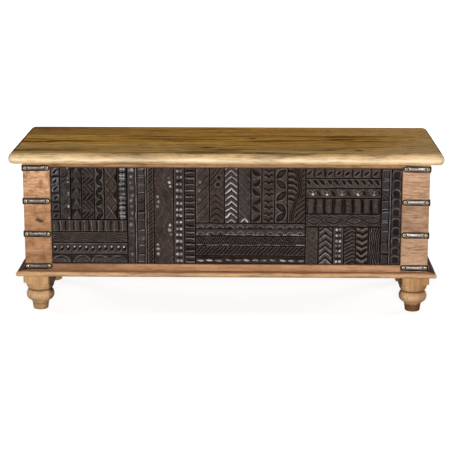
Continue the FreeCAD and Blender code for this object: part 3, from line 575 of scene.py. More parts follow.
def curls(s):
    """Half-round curls to the left and right in turn, with a white dot after each."""
    reach = np.hypot(s.step, s.across - 0.16 * s.width * s.turn)
    inside = 1 - rise(reach, 0.42 * s.pitch, 0.46 * s.pitch)
    half = rise(s.step * s.turn + 0.6 * s.across, -4, 2)
    curl = 0.9 * cuts_beside(reach, 0.19 * s.pitch, 1.5) * inside * half
    strokes = 0.8 * cuts_beside(0.7 * s.along + s.across * s.turn, 9.5, 1.5) * (1 - inside)
    dot = dome(np.abs(s.gap) - 3.5, s.across - 0.28 * s.width, 2.4) * (s.luck > 0.3)
    return carved(curl + strokes, 0.7 * half * lip(reach - 0.44 * s.pitch, 1.2), dot), dot


def triangles(s):
    """Pointed mounds stacked one on another, with hollows beside each point."""
    climb = s.step / s.pitch + 0.5
    off = s.wing / s.half + climb - 1.0
    hollow = rise(off, 0.0, 0.30)
    veins = 0.35 * cuts_beside(s.across / np.clip(1.15 - climb, 0.25, 1), 8, 1.6) * (1 - hollow)
    return carved(hollow + veins, 0.9 * lip(off + 0.14, 0.16) * rise(climb, 0.3, 0.7)), 0


def hatch_blocks(s):
    """Square blocks of slanted cuts, leaning right and deep, then left and shallow."""
    border = np.minimum(s.gap, s.to_side - 1)
    lean = (s.step - s.across * s.turn) * 0.7071
    slanted = cuts_beside(lean, s.pitch / 2.7, np.where(s.turn > 0, 3.2, 1.7)) * rise(border, 0.8, 2.6)
    edge = 0.7 * cuts_beside(lean + 3.6, s.pitch / 2.7, 1.0) * (s.turn > 0)
    return carved(slanted, edge * rise(border, 1, 3)), 0


def leaf_zigzag(s):
    """Leaves slanting left and right in turn, each outlined by a cut and with a vein."""
    half_length = 0.44 * math.hypot(s.pitch, 0.8 * s.width)
    x, y = turned(s.step, s.across, 48 * s.turn)
    rim = leaf_rim(x, y, half_length, 0.44 * half_length)
    arcs = lip(rim - 2.8, 1.4) * (0.4 + 0.6 * s.kept)
    return carved(cut(rim + 1.6, 2.6) + 0.7 * cut(y, 1.4) * (rim < -3.2), arcs), 0.5 * arcs


def half_leaves(s):
    """Dark half leaves that point right and left in turn, with a rubbed edge above each."""
    x, y = turned(s.step, s.across, 50 * s.turn)
    rim = leaf_rim(x, y, 0.54 * s.width, 0.42 * s.pitch)
    hollow = (1 - rise(rim, -3.5, -0.5)) * rise(y * s.turn, -1.5, 0.5)
    return carved(hollow, lip(rim - 1.6, 1.4)), 0


def crossed_ribs(s):
    """Thin crossed ribs with a dark notch in the right side of each cross."""
    rising, falling = [
        (np.mod(s.along / s.pitch + way * s.across / s.width, 1) - 0.5) * s.pitch * 0.6 for way in (1, -1)]
    ribs = np.maximum(lip(rising, 1.4), 0.6 * lip(falling, 1.2)) * (0.35 + 0.65 * s.kept)
    notch = 1 - rise(leaf_rim(s.step + 3, s.right - 2, 0.28 * s.pitch, 0.20 * s.width), -2.5, 0)
    flute = 0.45 * cut(np.abs(rising) - 4, 1.8) + 0.3 * cut(np.abs(falling) - 4, 1.5)
    return carved(notch + flute, ribs), 0.5 * ribs


def faded_crosses(s):
    """Faded crossed ribs over one white arrowhead."""
    height, chalk = crossed_ribs(s)
    arrow = lip(s.along + 1.1 * s.wing - 13, 2.4) * (1 - rise(s.wing, 9, 11))
    return np.maximum(0.5 * height + 0.5 * GROUND_SHARE, arrow), 0.1 * chalk + arrow


def beads(s):
    """Fat double beads, one above another, rubbed white."""
    off = s.across - 0.05 * s.width
    lobe = (np.abs(off) - 0.15 * s.width) / (0.22 * s.width)
    fat = (s.step / (0.48 * s.pitch)) ** 2 + lobe ** 2 + 0.5 * s.luck * (off / s.half)
    bead = np.sqrt(np.clip(1.1 - fat, 0, 1))
    notch = 0.6 * cut(s.step + 0.16 * s.pitch * s.turn, 1.6)
    chalk = rise(bead, 0.45, 0.95) * (1 - notch) * (0.35 + 0.65 * s.kept)
    return np.clip(0.86 * bead - notch, 0, 1), chalk


def panels(s):
    """Flat upright panels, with a black gap right of each and a rubbed left edge."""
    gap = cut(s.step - 0.36 * s.pitch, 2.6) + 0.5 * cut(s.step + 0.36 * s.pitch, 1.2)
    level = rise(s.to_side, 2, 3.5)
    edge = lip(s.step + 0.28 * s.pitch, 1.3)
    return carved(gap * level, edge * level + 0.4 * lip(s.to_side - 3, 1.0)), edge


def worn_dots(s):
    """A row of worn white dots beside a fillet."""
    dot = 0.9 * dome(s.step, s.across + 0.10 * s.width, 0.40 * s.pitch * (0.6 + 0.6 * s.luck))
    fillet = lip(s.right - 3.0, 1.6)
    groove = cut(s.right - 6.0, 1.7) + 0.4 * cut(s.step - 0.5 * s.pitch, 1.6)
    return carved(groove, fillet, dot), rise(dot, 0.3, 0.8) * s.kept + 0.5 * fillet


def blocks(s):
    """Flat blocks parted by cuts and now and then by a pair of rubbed lines, beside a fillet."""
    inner = s.right - 6.0
    on_block = rise(inner, 0, 2)
    pair = lip(s.gap - 2.6, 1.1) * (s.luck > 0.45) * on_block * rise(s.to_side, 2, 4)
    slanted = 0.45 * cuts_beside(0.78 * s.step + 0.62 * s.across, 8.5, 1.6) * (s.luck < 0.5)
    slanted *= rise(s.gap, 3, 5) * on_block
    cuts = cut(s.gap, 2.0) * rise(inner, -1, 1) + slanted + cut(inner, 1.7)
    fillet = lip(inner + 3.2, 1.5)
    return carved(cuts, pair + fillet), pair + 0.3 * fillet


def rope(s):
    """Slanted strands between two fillets."""
    strand = cuts_beside(s.along - 1.1 * s.across, s.pitch, 2.0) * rise(s.to_side, 2.0, 3.4)
    return carved(strand, lip(s.to_side - 2.0, 1.3)), 0.3 * lip(s.left - 2.0, 1.3)


def wave(s):
    """A broad scroll that swings from side to side over fine strokes, with white pearls in its bays."""
    off = 0.8 * (s.across - 0.22 * s.width * np.sin(math.tau * s.along / s.pitch))
    far = np.abs(off)
    scroll = 0.45 * cuts_beside(off + 3, 6.0, 1.3) * (1 - rise(far, 9, 10)) * s.kept
    strokes = 0.4 * cuts_beside(0.75 * s.along - np.sign(off) * 0.9 * s.across, 8.0, 1.6) * rise(far, 10, 11)
    half_turn = np.round(2 * s.along / s.pitch - 0.5)
    bay = s.along - (half_turn + 0.5) * s.pitch / 2
    side = np.where(half_turn % 2 == 0, -1, 1)
    pearls = dome(np.abs(bay) - 6.8, s.across - 0.31 * s.width * side, 5.2)
    pearls = np.maximum(pearls, 0.8 * dome(bay + 20 * side, s.across - 0.33 * s.width * side, 4.2))
    return carved(scroll + strokes, 0.5 * lip(far - 10, 1.2), pearls), rise(pearls, 0.25, 0.7) * s.kept


def studs(s):
    """White studs in pairs, with a dark pip between one pair and the next."""
    radius = min(0.33 * s.pitch, 0.14 * s.width) * (0.75 + 0.35 * s.luck)
    pair = dome(s.step, s.wing - 0.17 * s.width, radius)
    pips = 0.9 * dome(s.gap, s.wing - 0.11 * s.width, 2.4) + 0.5 * cut(s.gap, 1.8) * rise(s.to_side, 5, 7)
    return carved(pips, 0.6 * lip(s.to_side - 2.6, 1.1), pair), rise(pair, 0.3, 0.7) * (0.3 + 0.7 * s.kept)


def rungs(s):
    """Rungs of a ladder: black cuts of many widths, each with a rubbed edge below it."""
    deep = 1.6 + 2.6 * s.luck
    inside = rise(s.to_side, 1.6, 2.8)
    edge = lip(s.step + deep + 1.6, 1.3) * inside
    cuts = cut(s.step, deep) + 0.7 * cut(s.step - 0.40 * s.pitch, 1.7)
    return carved(cuts * inside, edge), edge * (1 - 0.6 * s.luck)


def slanted_leaves(s):
    """Long slanted strokes, shallow and far apart, beside a rubbed edge."""
    lean = s.along - 1.1 * s.across
    strokes = 0.7 * cuts_beside(lean, s.pitch, 2.0) * rise(s.to_side, 2, 6)
    edge = 0.6 * cuts_beside(lean + 0.22 * s.pitch, s.pitch, 1.5) * s.kept
    patch = dome(s.step, s.across + 0.2 * s.width, 5.0) * (s.luck > 0.4)
    return carved(strokes, edge + patch + lip(s.left - 3, 1.5)), 0.5 * patch + 0.4 * edge


def brows(s):
    """A curl round two dark eyes, over bent strokes like brows."""
    pits, rings, near = 0.0, 0.0, np.inf
    for sideways, up, radius, deep in ((0.14, 0.82, 6.5, 0.9), (0.08, 0.70, 5.5, 1.0)):
        x, y = s.across - sideways * s.width, s.along - up * s.length
        pits = np.maximum(pits, deep * dome(x, y, radius))
        rings = np.maximum(rings, lip(np.hypot(x, y) - radius - 2, 1.3))
        near = np.minimum(near, np.hypot(x, y))
    bent = s.along + 0.9 * np.abs(s.across + 0.06 * s.width) ** 1.35 / s.half ** 0.35
    strokes = cuts_beside(bent, s.pitch, 2.4) * (1 - rise(s.high, 0.50, 0.56)) * rise(s.to_side, 2, 7)
    slopes = cuts_beside(s.along - 1.2 * s.across, 15, 1.9) * rise(near, 10, 12) * rise(s.high, 0.54, 0.6)
    edges = 0.6 * cuts_beside(bent + 4, s.pitch, 1.4) * (s.high < 0.5)
    return carved(strokes + pits + 0.8 * slopes, rings + edges), 0


def chevrons(s):
    """Crisp white arrowheads, pointing up, on a plain ground."""
    climb = np.mod((s.along + 0.85 * s.wing) / s.pitch, 1)
    inside = rise(s.to_side, 2.0, 3.2)
    stroke = between(climb, 0.42, 0.50, 0.68, 0.76) * inside
    under = 0.7 * between(climb, 0.14, 0.34, 0.36, 0.44) * inside
    return carved(under, stroke), stroke * np.where(s.across < 0, 1.0, 0.75)


def arrow_bands(s):
    """Broad grey arrowheads pointing up, each with a rubbed upper edge and a fine line below."""
    climb = np.mod((s.along + 0.85 * s.wing) / s.pitch, 1)
    inside = rise(s.to_side, 2.6, 3.8)
    body = between(climb, 0.22, 0.30, 0.88, 0.96) * inside
    edge = between(climb, 0.66, 0.74, 0.88, 0.95) * inside
    cuts = cut(climb - 0.08, 0.2) * inside + 0.5 * (1 - inside)
    return carved(cuts, 0.35 * body + edge), (0.12 * body + 0.8 * edge) * (1 - 0.5 * rise(s.high, 0.2, 0.5))


def bats(s):
    """Black cuts like bats in flight, deepest in the middle, with a rubbed edge below each."""
    wing = np.abs(s.across - 0.04 * s.width)
    off = s.step - 0.34 * wing + 1.6 * np.cos(wing / s.half * 9)
    thick = 3.6 * np.clip(1 - (wing / (0.80 * s.half)) ** 2, 0.02, 1)
    black = cut(off, thick) * (wing < 0.80 * s.half)
    return carved(black, lip(off + 4.6, 1.5) * rise(s.to_side, 3, 6)), 0


def darts(s):
    """Deep arrowheads pointing down, cut from edge to edge, with a bright lower face."""
    climb = np.mod((s.along - 0.62 * s.wing) / s.pitch, 1)
    inside = rise(s.to_side, 1.6, 3.0)
    face = between(climb, 0.10, 0.3, 0.50, 0.57) * inside
    return carved(between(climb, 0.56, 0.66, 0.90, 0.98) * inside, face), 0.2 * face


def big_scroll(s):
    """A stem of fine lines that swings right and then left, with thick bent leaf strokes beside it."""
    off = s.across - s.width * (0.24 * np.sin(math.pi * (s.high - 0.38) / 0.60) - 0.04)
    stem = cuts_beside(off + 2.7, 5.4, 1.4) * (1 - rise(np.abs(off), 8.0, 9.0))
    drop = np.sqrt(np.clip((0.62 * s.width) ** 2 - (s.across + 0.46 * s.width) ** 2, 0, None))
    left = rise(-off, 7.5, 9.5) * rise(s.high, 0.34, 0.40)
    leaves = cuts_beside(s.along - drop, s.pitch, 3.6) * left
    ridge = cuts_beside(s.along - drop + 6.0, s.pitch, 2.4) * left
    small = cuts_beside(s.along - 0.9 * s.across, 14, 2.2) * rise(off, 8.5, 10.5)
    return carved(stem + leaves + small, ridge + lip(np.abs(off) - 6, 1.2)), 0.1 * ridge


def scallops(s):
    """Two rows of small arches, each with a dark line under it, over a line of old whitewash."""
    low = s.across < 0
    row = np.where(low, s.left, s.across)
    step = np.where(low, np.mod(s.along, s.pitch) - s.pitch / 2, s.step)
    arch = lip(np.hypot(step, 1.1 * (row - 3)) - 0.34 * s.pitch, 1.5) * (row > 3)
    hollow = 1 - rise(np.hypot(step, 1.2 * (row - 3)), 0.10 * s.pitch, 0.26 * s.pitch)
    white = lip(s.left - 3.0, 1.2) * s.kept
    cuts = (cut(row - 2.4, 2.0) + 0.5 * hollow) * (1 - white)
    return carved(cuts, 0.8 * arch + white), 0.25 * arch + white


def broad_arches(s):
    """Broad low arches side by side, drawn with two rubbed lines."""
    reach = np.hypot(s.step / (0.5 * s.pitch), s.left / (0.9 * s.width))
    lines = np.maximum(lip(reach - 0.92, 0.07), 0.8 * lip(reach - 0.48, 0.07)) * (0.35 + 0.65 * s.kept)
    inner = cut(reach - 0.70, 0.13) * rise(s.across, -0.1 * s.width, 0.2 * s.width)
    return carved(inner + 0.9 * rise(reach, 1.0, 1.12), lines), 0.4 * lines


def zigzag(s):
    """Fine zigzag cuts nested in one another, over a line of old whitewash."""
    peak = np.abs(np.mod(s.along / s.pitch, 1) - 0.5) * 2
    off = 0.7 * (s.across - (peak - 0.5) * s.width)
    white = lip(s.left - 2.6, 1.1) * s.kept
    edges = 0.6 * cuts_beside(off + 4, 9.0, 1.4)
    return carved(cuts_beside(off, 9.0, 2.6) * (1 - white), white + edges), white


def slants(s):
    """Straight slanted cuts from edge to edge."""
    return carved(cuts_beside(s.along - s.across, s.pitch, 0.28 * s.pitch) * rise(s.to_side, 1.4, 3)), 0


def dashes(s):
    """A row of long slanted dashes with the whitewash still on them."""
    rim = leaf_rim(s.step + 0.5 * s.across, s.across + 0.10 * s.width, 0.46 * s.pitch, 0.17 * s.width)
    dash = (1 - rise(rim, -1.8, 0)) * (0.4 + 0.6 * s.kept)
    return carved(cut(s.right - 5, 3.0) + 0.6 * (1 - dash), dash), dash


def commas(s):
    """Comma-shaped cuts in a row along the upper edge of a plain ground."""
    x, y = turned(s.step, s.across - 0.12 * s.width, -48)
    rim = leaf_rim(x, y + 0.02 * x * x, 0.38 * s.width, 0.25 * s.pitch)
    edge = lip(rim - 1.5, 1.2)
    return carved(1 - rise(rim, -1.6, 0.2), edge + 0.6 * lip(s.left - 3, 1.6)), 0.15 * edge


def flowers(s):
    """Half flowers: a white bud between two petals, and a black slanted cut after each."""
    middle = s.step + 0.06 * s.pitch
    bud = dome(middle, s.across + 0.14 * s.width, 3.6)
    x, y = turned(s.step - 0.34 * s.pitch, s.across - 0.04 * s.width, -52)
    black = 1 - rise(leaf_rim(x, y, 0.48 * s.width, 4.4), -2.0, 0)
    petals = 0.0
    for side in (-1, 1):
        x, y = turned(middle - 0.14 * side * s.pitch, s.across - 0.10 * s.width, 90 - 48 * side)
        petals = np.maximum(petals, lip(leaf_rim(x, y, 0.42 * s.width, 4.6), 1.7))
    return carved(black + 0.5 * cut(s.right - 3, 2.0), petals, bud), rise(bud, 0.2, 0.7) + 0.05 * petals


def half_rounds(s):
    """Fat half-round bars with deep black gaps."""
    share = np.abs(s.step) / (0.335 * s.pitch)
    bar = np.sqrt(np.clip(1 - 0.4 * np.clip(share, 0, 1) ** 2, 0, 1)) * (1 - rise(share, 0.96, 1.04))
    return np.maximum(0.78 * bar, 0.25 * lip(s.gap, 1.0)) * rise(s.to_side, 1.0, 2.4), 0


def eyes(s):
    """Long eyes end to end, drawn with two rubbed lines, between crossed arcs."""
    rim = leaf_rim(s.step, s.across, 0.50 * s.pitch, 0.36 * s.width)
    arcs = leaf_rim(s.gap, s.across, 0.42 * s.pitch, 0.46 * s.width)
    lines = np.maximum(lip(rim, 1.4), 0.8 * lip(rim + 7.0, 1.2) * (rim < 0))
    lines = np.maximum(lines, 0.7 * lip(arcs, 1.2) * (rim > 0)) * (0.45 + 0.55 * s.kept)
    return carved(0.75 * cut(rim + 3.5, 2.4) + 0.5 * cut(rim - 3, 2.2), lines), 0.25 * lines


def herringbone(s):
    """Slanted cuts that fold down near the right edge, each with a rubbed edge."""
    lean = s.along - 0.52 * np.where(s.across < 0.24 * s.width, s.across, 0.48 * s.width - s.across)
    return carved(cuts_beside(lean, s.pitch, 2.5), 0.8 * cuts_beside(lean - 3.6, s.pitch, 1.6)), 0


def flutes(s):
    """Wavy flutes that draw together like grass."""
    bend = s.across * (1 + 0.5 * np.sin(math.pi * s.high)) + 4 * np.sin(s.along / 11)
    ridge = cuts_beside(bend + 4, 8.0, 1.4) * (0.5 + 0.5 * s.kept)
    return carved(cuts_beside(bend, 8.0, 2.6), ridge), 0.35 * ridge


def doorways(s):
    """Dark arched doorways one above another, each under a rubbed arch."""
    reach = np.hypot(np.clip(s.step, 0, None), s.across * 0.8 * s.pitch / s.width)
    door = 0.8 - 0.8 * rise(reach, 0.16 * s.pitch, 0.27 * s.pitch)
    door *= rise(s.step, -0.5 * s.pitch, -0.42 * s.pitch)
    arch = lip(reach - 0.36 * s.pitch, 1.6) * (s.step > -0.2 * s.pitch) * (0.4 + 0.6 * s.kept)
    return carved(door + 0.5 * cut(reach - 0.48 * s.pitch, 1.6), arch), 0.3 * arch


def pearls_and_cuts(s):
    """A white pearl over a black slanted cut, again and again."""
    pearl = dome(s.step + 0.06 * s.pitch, s.across - 0.13 * s.width, 2.2 + 0.8 * s.luck)
    x, y = turned(s.step - 0.04 * s.pitch, s.across + 0.08 * s.width, 38)
    rim = leaf_rim(x, y, 0.42 * s.pitch, 0.22 * s.pitch)
    lines = lip(rim - 2.0, 1.1) * (y < 0) + 0.7 * lip(s.half - 3 - s.wing, 1.1)
    return carved(1 - rise(rim, -2.2, 0), lines, pearl), rise(pearl, 0.2, 0.6) + 0.1 * lines


def old_stained_wood(name):
    """Old close-grained hardwood, knife-cut, stained and rubbed by hands: soot in the cuts, dull brown or
    slate on the flats, grey along rubbed edges, and chalky where whitewash is left, blued on slate."""
    stain_patch, rub_patch, nick = 45, 7, 3.4
    material, add = new_material(name)
    place = add("TexCoord", {}, "Object")
    relief, chalk, tint = [
        add("Attribute", {}, "Fac", attribute_name=part) for part in ("relief", "chalk", "tint")]
    stain, rub, nicks = [
        add("TexNoise", {"Vector": place, "Scale": 1 / (size * MM), "Detail": detail, "Roughness": rough})
        for size, detail, rough in ((stain_patch, 3.0, 0.5), (rub_patch, 4.0, 0.65), (nick, 3.0, 0.65))]
    flat = add("MixRGB", {"Fac": tint, "Color1": colour("#3a3737"), "Color2": colour("#48362d")})
    for value, clear, full, strength, tone in (
            (stain, 0.4, 0.7, 0.65, "#2a221e"), (nicks, 0.48, 0.68, 0.75, "#150f0c")):
        amount = add("MapRange", {
            "Value": value, "From Min": clear, "From Max": full, "To Max": strength})
        flat = add("MixRGB", {"Fac": amount, "Color1": flat, "Color2": colour(tone)})
    deep = add("MapRange", {"Value": relief, "From Min": 0.14, "From Max": 0.66})
    shade = add("MixRGB", {"Fac": deep, "Color1": colour("#0c0807"), "Color2": flat})
    crest = add("MapRange", {"Value": relief, "From Min": 0.74, "From Max": 1.0})
    blued = add("MapRange", {"Value": tint, "From Max": 0.3, "To Min": 0.85, "To Max": 0.0})
    wash = add("MixRGB", {"Fac": blued, "Color1": colour("#dcd5d0"), "Color2": colour("#b2b8d2")})
    for amount, bare, full, least, tone in (
            (crest, 0.36, 0.64, 0.25, colour("#72675f")), (chalk, 0.32, 0.52, 0.2, wash)):
        left = add("MapRange", {"Value": rub, "From Min": bare, "From Max": full, "To Min": least})
        left = add("Math", {0: amount, 1: left}, operation="MULTIPLY")
        shade = add("MixRGB", {"Fac": left, "Color1": shade, "Color2": tone})
    dull = add("MapRange", {"Value": rub, "To Min": 0.40, "To Max": 0.75})
    tooth = add("Bump", {"Height": rub, "Strength": 0.6, "Distance": 0.8 * MM})
    surface = add("BsdfPrincipled", {
        "Base Color": shade, "Roughness": dull, "IOR": WOOD_IOR, "Specular IOR Level": 0.06, "Normal": tooth})
    add("OutputMaterial", {"Surface": surface})
    return material


# Each strip: its share of the field, its pattern, how often that repeats, how deep it is cut in
# millimetres, how much whitewash it keeps and how brown it is rather than slate. They go from left
# to right, or from the bottom up.
FIELD_SHARES = {
    "left_upper": ("upright", (
        (9, leaf_squares, 6, 3.8, 0.42, 0.0), (11, curls, 4, 3.2, 0.9, 0.2),
        (11, triangles, 5, 4.2, 0.0, 0.2), (13, hatch_blocks, 6, 4.6, 0.0, 0.3),
        (10, leaf_zigzag, 8, 4.2, 0.2, 0.4), (13, crossed_ribs, 3, 4.2, 0.2, 0.62),
        (10, beads, 11, 4.6, 0.42, 0.2))),
    "left_lower": ("level", (
        (9, broad_arches, 4, 2.6, 0.15, 0.3), (12, pearls_and_cuts, 12, 4.6, 1.0, 0.3),
        (11, flutes, 1, 1.5, 0.0, 0.4), (12, panels, 10, 4.8, 0.25, 0.5))),
    "left_tall": ("upright", (
        (10, worn_dots, 16, 3.0, 0.45, 0.3), (10, blocks, 11, 3.4, 0.4, 0.3), (7, rope, 24, 3.6, 0.3, 0.7),
        (20, wave, 2, 3.6, 0.72, 0.6), (11, studs, 15, 4.2, 0.85, 0.4), (11, rungs, 16, 5.4, 0.3, 0.5))),
    "middle_upper": ("upright", (
        (14, slanted_leaves, 6, 3.0, 0.3, 0.6), (15, brows, 9, 4.2, 0.0, 0.66),
        (14, chevrons, 9, 4.6, 1.0, 0.4), (13, faded_crosses, 4, 3.2, 1.0, 0.4),
        (11, half_leaves, 6, 4.8, 0.0, 0.3), (13, bats, 9, 5.4, 0.0, 0.6),
        (13, leaf_zigzag, 5, 4.8, 0.2, 0.5), (18, big_scroll, 10, 5.0, 0.2, 0.6))),
    "middle_lower": ("level", (
        (8, dashes, 12, 3.8, 0.65, 0.9), (10, slants, 26, 3.6, 0.0, 0.3), (10, zigzag, 12, 3.6, 0.5, 0.3),
        (13, scallops, 11, 3.8, 0.5, 0.4))),
    "right_upper": ("level", (
        (13, eyes, 4, 4.0, 0.2, 0.2), (16, half_rounds, 8, 7.0, 0.0, 0.6), (10, flowers, 5, 4.6, 0.9, 0.5),
        (10, commas, 11, 5.0, 0.2, 0.4), (10, leaf_squares, 8, 3.6, 0.05, 0.6))),
    "right_lower": ("upright", (
        (13, brows, 7, 1.6, 0.0, 0.5), (15, arrow_bands, 6, 4.6, 0.30, 0.3), (11, studs, 7, 4.2, 0.9, 0.3),
        (12, herringbone, 10, 4.4, 0.0, 0.4), (13, darts, 6, 6.0, 0.3, 0.7), (12, flutes, 1, 4.2, 0.3, 0.5))),
    "right_tall": ("upright", ((10, blocks, 9, 3.4, 0.45, 0.1), (10, doorways, 10, 5.0, 0.2, 0.3))),
}
RUBBED_LINE = 2.6
RUBBED_LIFT = 0.22
GRIT = 0.08


def strip_relief(length, width, pattern, repeats, depth, chalky, seed):
    """How far each point of a strip's face lies behind its front, its relief and its whitewash."""
    strip = Strip(length, width, repeats, seed)
    height, chalk = pattern(strip)
    wear = (0.84 + 0.16 * smooth_noise(seed + 2, strip.size, (29, 17))) * min(1, depth / FADED_DEPTH)
    grit = smooth_noise(seed + 3, strip.size, (6, 3))
    patchy = 0.62 + 0.38 * smooth_noise(seed + 4, strip.size, (31, 23))
    edge = np.minimum(strip.to_end, strip.to_side)
    ease = 1 - rise(edge, 0, STRIP_EASE)
    rubbed = lip(edge - RUBBED_LINE, 1.2) * (0.5 + 0.5 * smooth_noise(seed + 5, strip.size, (37, 7)))
    height = GROUND_SHARE + (height - GROUND_SHARE) * wear + GRIT * grit
    height = np.clip(height + rubbed * np.clip(GROUND_SHARE + RUBBED_LIFT - height, 0, None), 0, 1)
    behind = (1 - height) * depth + ease * STRIP_EASE
    return behind, height * (1 - ease), np.clip(chalk, 0, 1) * chalky * patchy * (1 - ease)


def add_strip(field_mesh, corner, size, run, strip, back, seed):
    """Adds one closed strip to its field: its carved face, four sides and a flat back."""
    points, faces, reliefs, chalks, tints = field_mesh
    length, width = (size[1], size[0]) if run == "upright" else size
    behind, relief, chalk = strip_relief(length, width, *strip[1:5], seed)
    sink = STRIP_SINK * np.random.default_rng(seed).uniform(0, 1)
    if run == "level":
        behind, relief, chalk = behind.T, relief.T, chalk.T
    rows, columns = behind.shape
    x, z = np.meshgrid(np.linspace(corner[0], corner[0] + size[0], columns),
                       np.linspace(corner[2], corner[2] + size[1], rows))
    start = len(points)
    grid = start + np.arange(behind.size).reshape(rows, columns)
    points += zip(x.ravel(), (corner[1] + sink + behind).ravel(), z.ravel())
    quads = np.stack((grid[:-1, :-1], grid[:-1, 1:], grid[1:, 1:], grid[1:, :-1]), axis=-1)
    faces += quads.reshape(-1, 4).tolist()
    rim = np.concatenate((grid[0], grid[1:, -1], grid[-1, -2::-1], grid[-2:0:-1, 0])).tolist()
    behind_rim = len(points)
    points += [(points[at][0], back, points[at][2]) for at in rim]
    for place, at in enumerate(rim):
        after = (place + 1) % len(rim)
        faces.append((rim[after], at, behind_rim + place, behind_rim + after))
    faces.append(tuple(behind_rim + place for place in reversed(range(len(rim)))))
    reliefs += list(relief.ravel()) + [0] * len(rim)
    chalks += list(chalk.ravel()) + [0] * len(rim)
    tints += [strip[5]] * (len(points) - start)


stained_wood = old_stained_wood("carved_stained_old_hardwood")
for number, (field, (run, strips)) in enumerate(FIELD_SHARES.items()):
    low, high = [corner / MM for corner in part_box("carved_strips_" + field)]
    sideways = 0 if run == "upright" else 2
    seam = STRIP_SEAM / 2
    start = low[sideways] - seam
    share = (high[sideways] - low[sideways] + STRIP_SEAM) / sum(strip[0] for strip in strips)
    field_mesh = ([], [], [], [], [])
    for place, strip in enumerate(strips):
        end = start + strip[0] * share
        if run == "upright":
            corner, size = (start + seam, low.y, low.z), (end - start - STRIP_SEAM, high.z - low.z)
        else:
            corner, size = (low.x, low.y, start + seam), (high.x - low.x, end - start - STRIP_SEAM)
        add_strip(field_mesh, corner, size, run, strip, high.y, 100 + 20 * number + 2 * place)
        start = end
    points, faces, reliefs, chalks, tints = field_mesh
    add_piece("carving_" + field, np.array(points) * MM, faces, stained_wood, "carved_old_wood",
              "carved_strips_" + field, smooth_angle=60, relief=reliefs, chalk=chalks, tint=tints)

# Corner straps
# Four flat iron bars at each corner, forged with a half-round rib between the nail eyes, hammered
# round the corner while hot and blackened. The rib is burnished, and a painted highlight runs along its
# upper side, broader on the right-hand straps.
STRAP_COUNT = 4
STRAP_TALL = 18.0
STRAP_THICK = 2.0
STRAP_STEPS = 45
STRAP_LEAN = 1.2
RIB_WIDTH = 14.0
RIB_HEIGHT = 3.0
RIB_WAIST = 0.82
RIB_FLARE = 0.34
HIGHLIGHT_PLACE = 0.42
HIGHLIGHT_WANDER = 0.22
HAMMER_DENT = 0.3
EDGE_WOBBLE = 0.4
EDGE_SOFT = 0.8
NEAR_CORNER = 1.2
CORNER_BULGE = 1.0
CORNER_REACH = 2.2
EYE_CLEAR = (5.6, 8.2)
# Burnish and painted highlight on the rib for right and left straps: burnished level, highlight strength and
# width.
RIB_BURNISH_AND_HIGHLIGHT = {1: (0.52, 0.52, 0.46), -1: (0.30, 0.80, 0.26)}
STRAP_LEANS = np.random.default_rng(9).uniform(-STRAP_LEAN, STRAP_LEAN, (len(CORNERS), STRAP_COUNT))
strap_low, strap_high = [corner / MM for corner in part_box("corner_straps_back_right")]
wall_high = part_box("back_board_lower")[1] / MM
CASE_X, CASE_Y = wall_high.x, wall_high.y
STRAP_ARM = CASE_X - strap_low.x
NAIL_PLACES = (STRAP_TALL / 2 - STRAP_THICK, STRAP_ARM - STRAP_TALL / 2)
STRAP_HEIGHTS = np.linspace(strap_low.z + STRAP_TALL / 2, strap_high.z - STRAP_TALL / 2, STRAP_COUNT)


def hammered_iron(name, dark, bright):
    """Wrought iron, hammered and blackened in the forge: a dark scale, and small flat hammer marks. Where
    the burnish measure says, the rib shows burnished metal with a painted highlight."""
    hammer_mark, scale_patch = 5, 4
    material, add = new_material(name)
    place = add("TexCoord", {}, "Object")
    burnish = add("Attribute", {}, "Fac", attribute_name="burnish")
    patches = add("TexNoise", {"Vector": place, "Scale": 1 / (scale_patch * MM), "Detail": 3.0})
    marks = add("TexVoronoi", {
        "Vector": place, "Scale": 1 / (hammer_mark * MM), "Smoothness": 0.4}, "Distance", feature="SMOOTH_F1")
    bare = add("MapRange", {"Value": patches, "From Min": 0.35, "From Max": 0.65, "To Min": 0.55})
    bare = add("Math", {0: bare, 1: burnish}, operation="MULTIPLY")
    shade = add("MixRGB", {"Fac": bare, "Color1": colour(dark), "Color2": colour(bright)})
    dull = add("MapRange", {"Value": bare, "To Min": 0.62, "To Max": 0.46})
    dents = add("Bump", {"Height": marks, "Strength": 0.25, "Distance": 0.5 * MM})
    surface = add("BsdfPrincipled", {
        "Base Color": shade, "Metallic": 1.0, "Roughness": dull, "Normal": dents})
    add("OutputMaterial", {"Surface": surface})
    return material


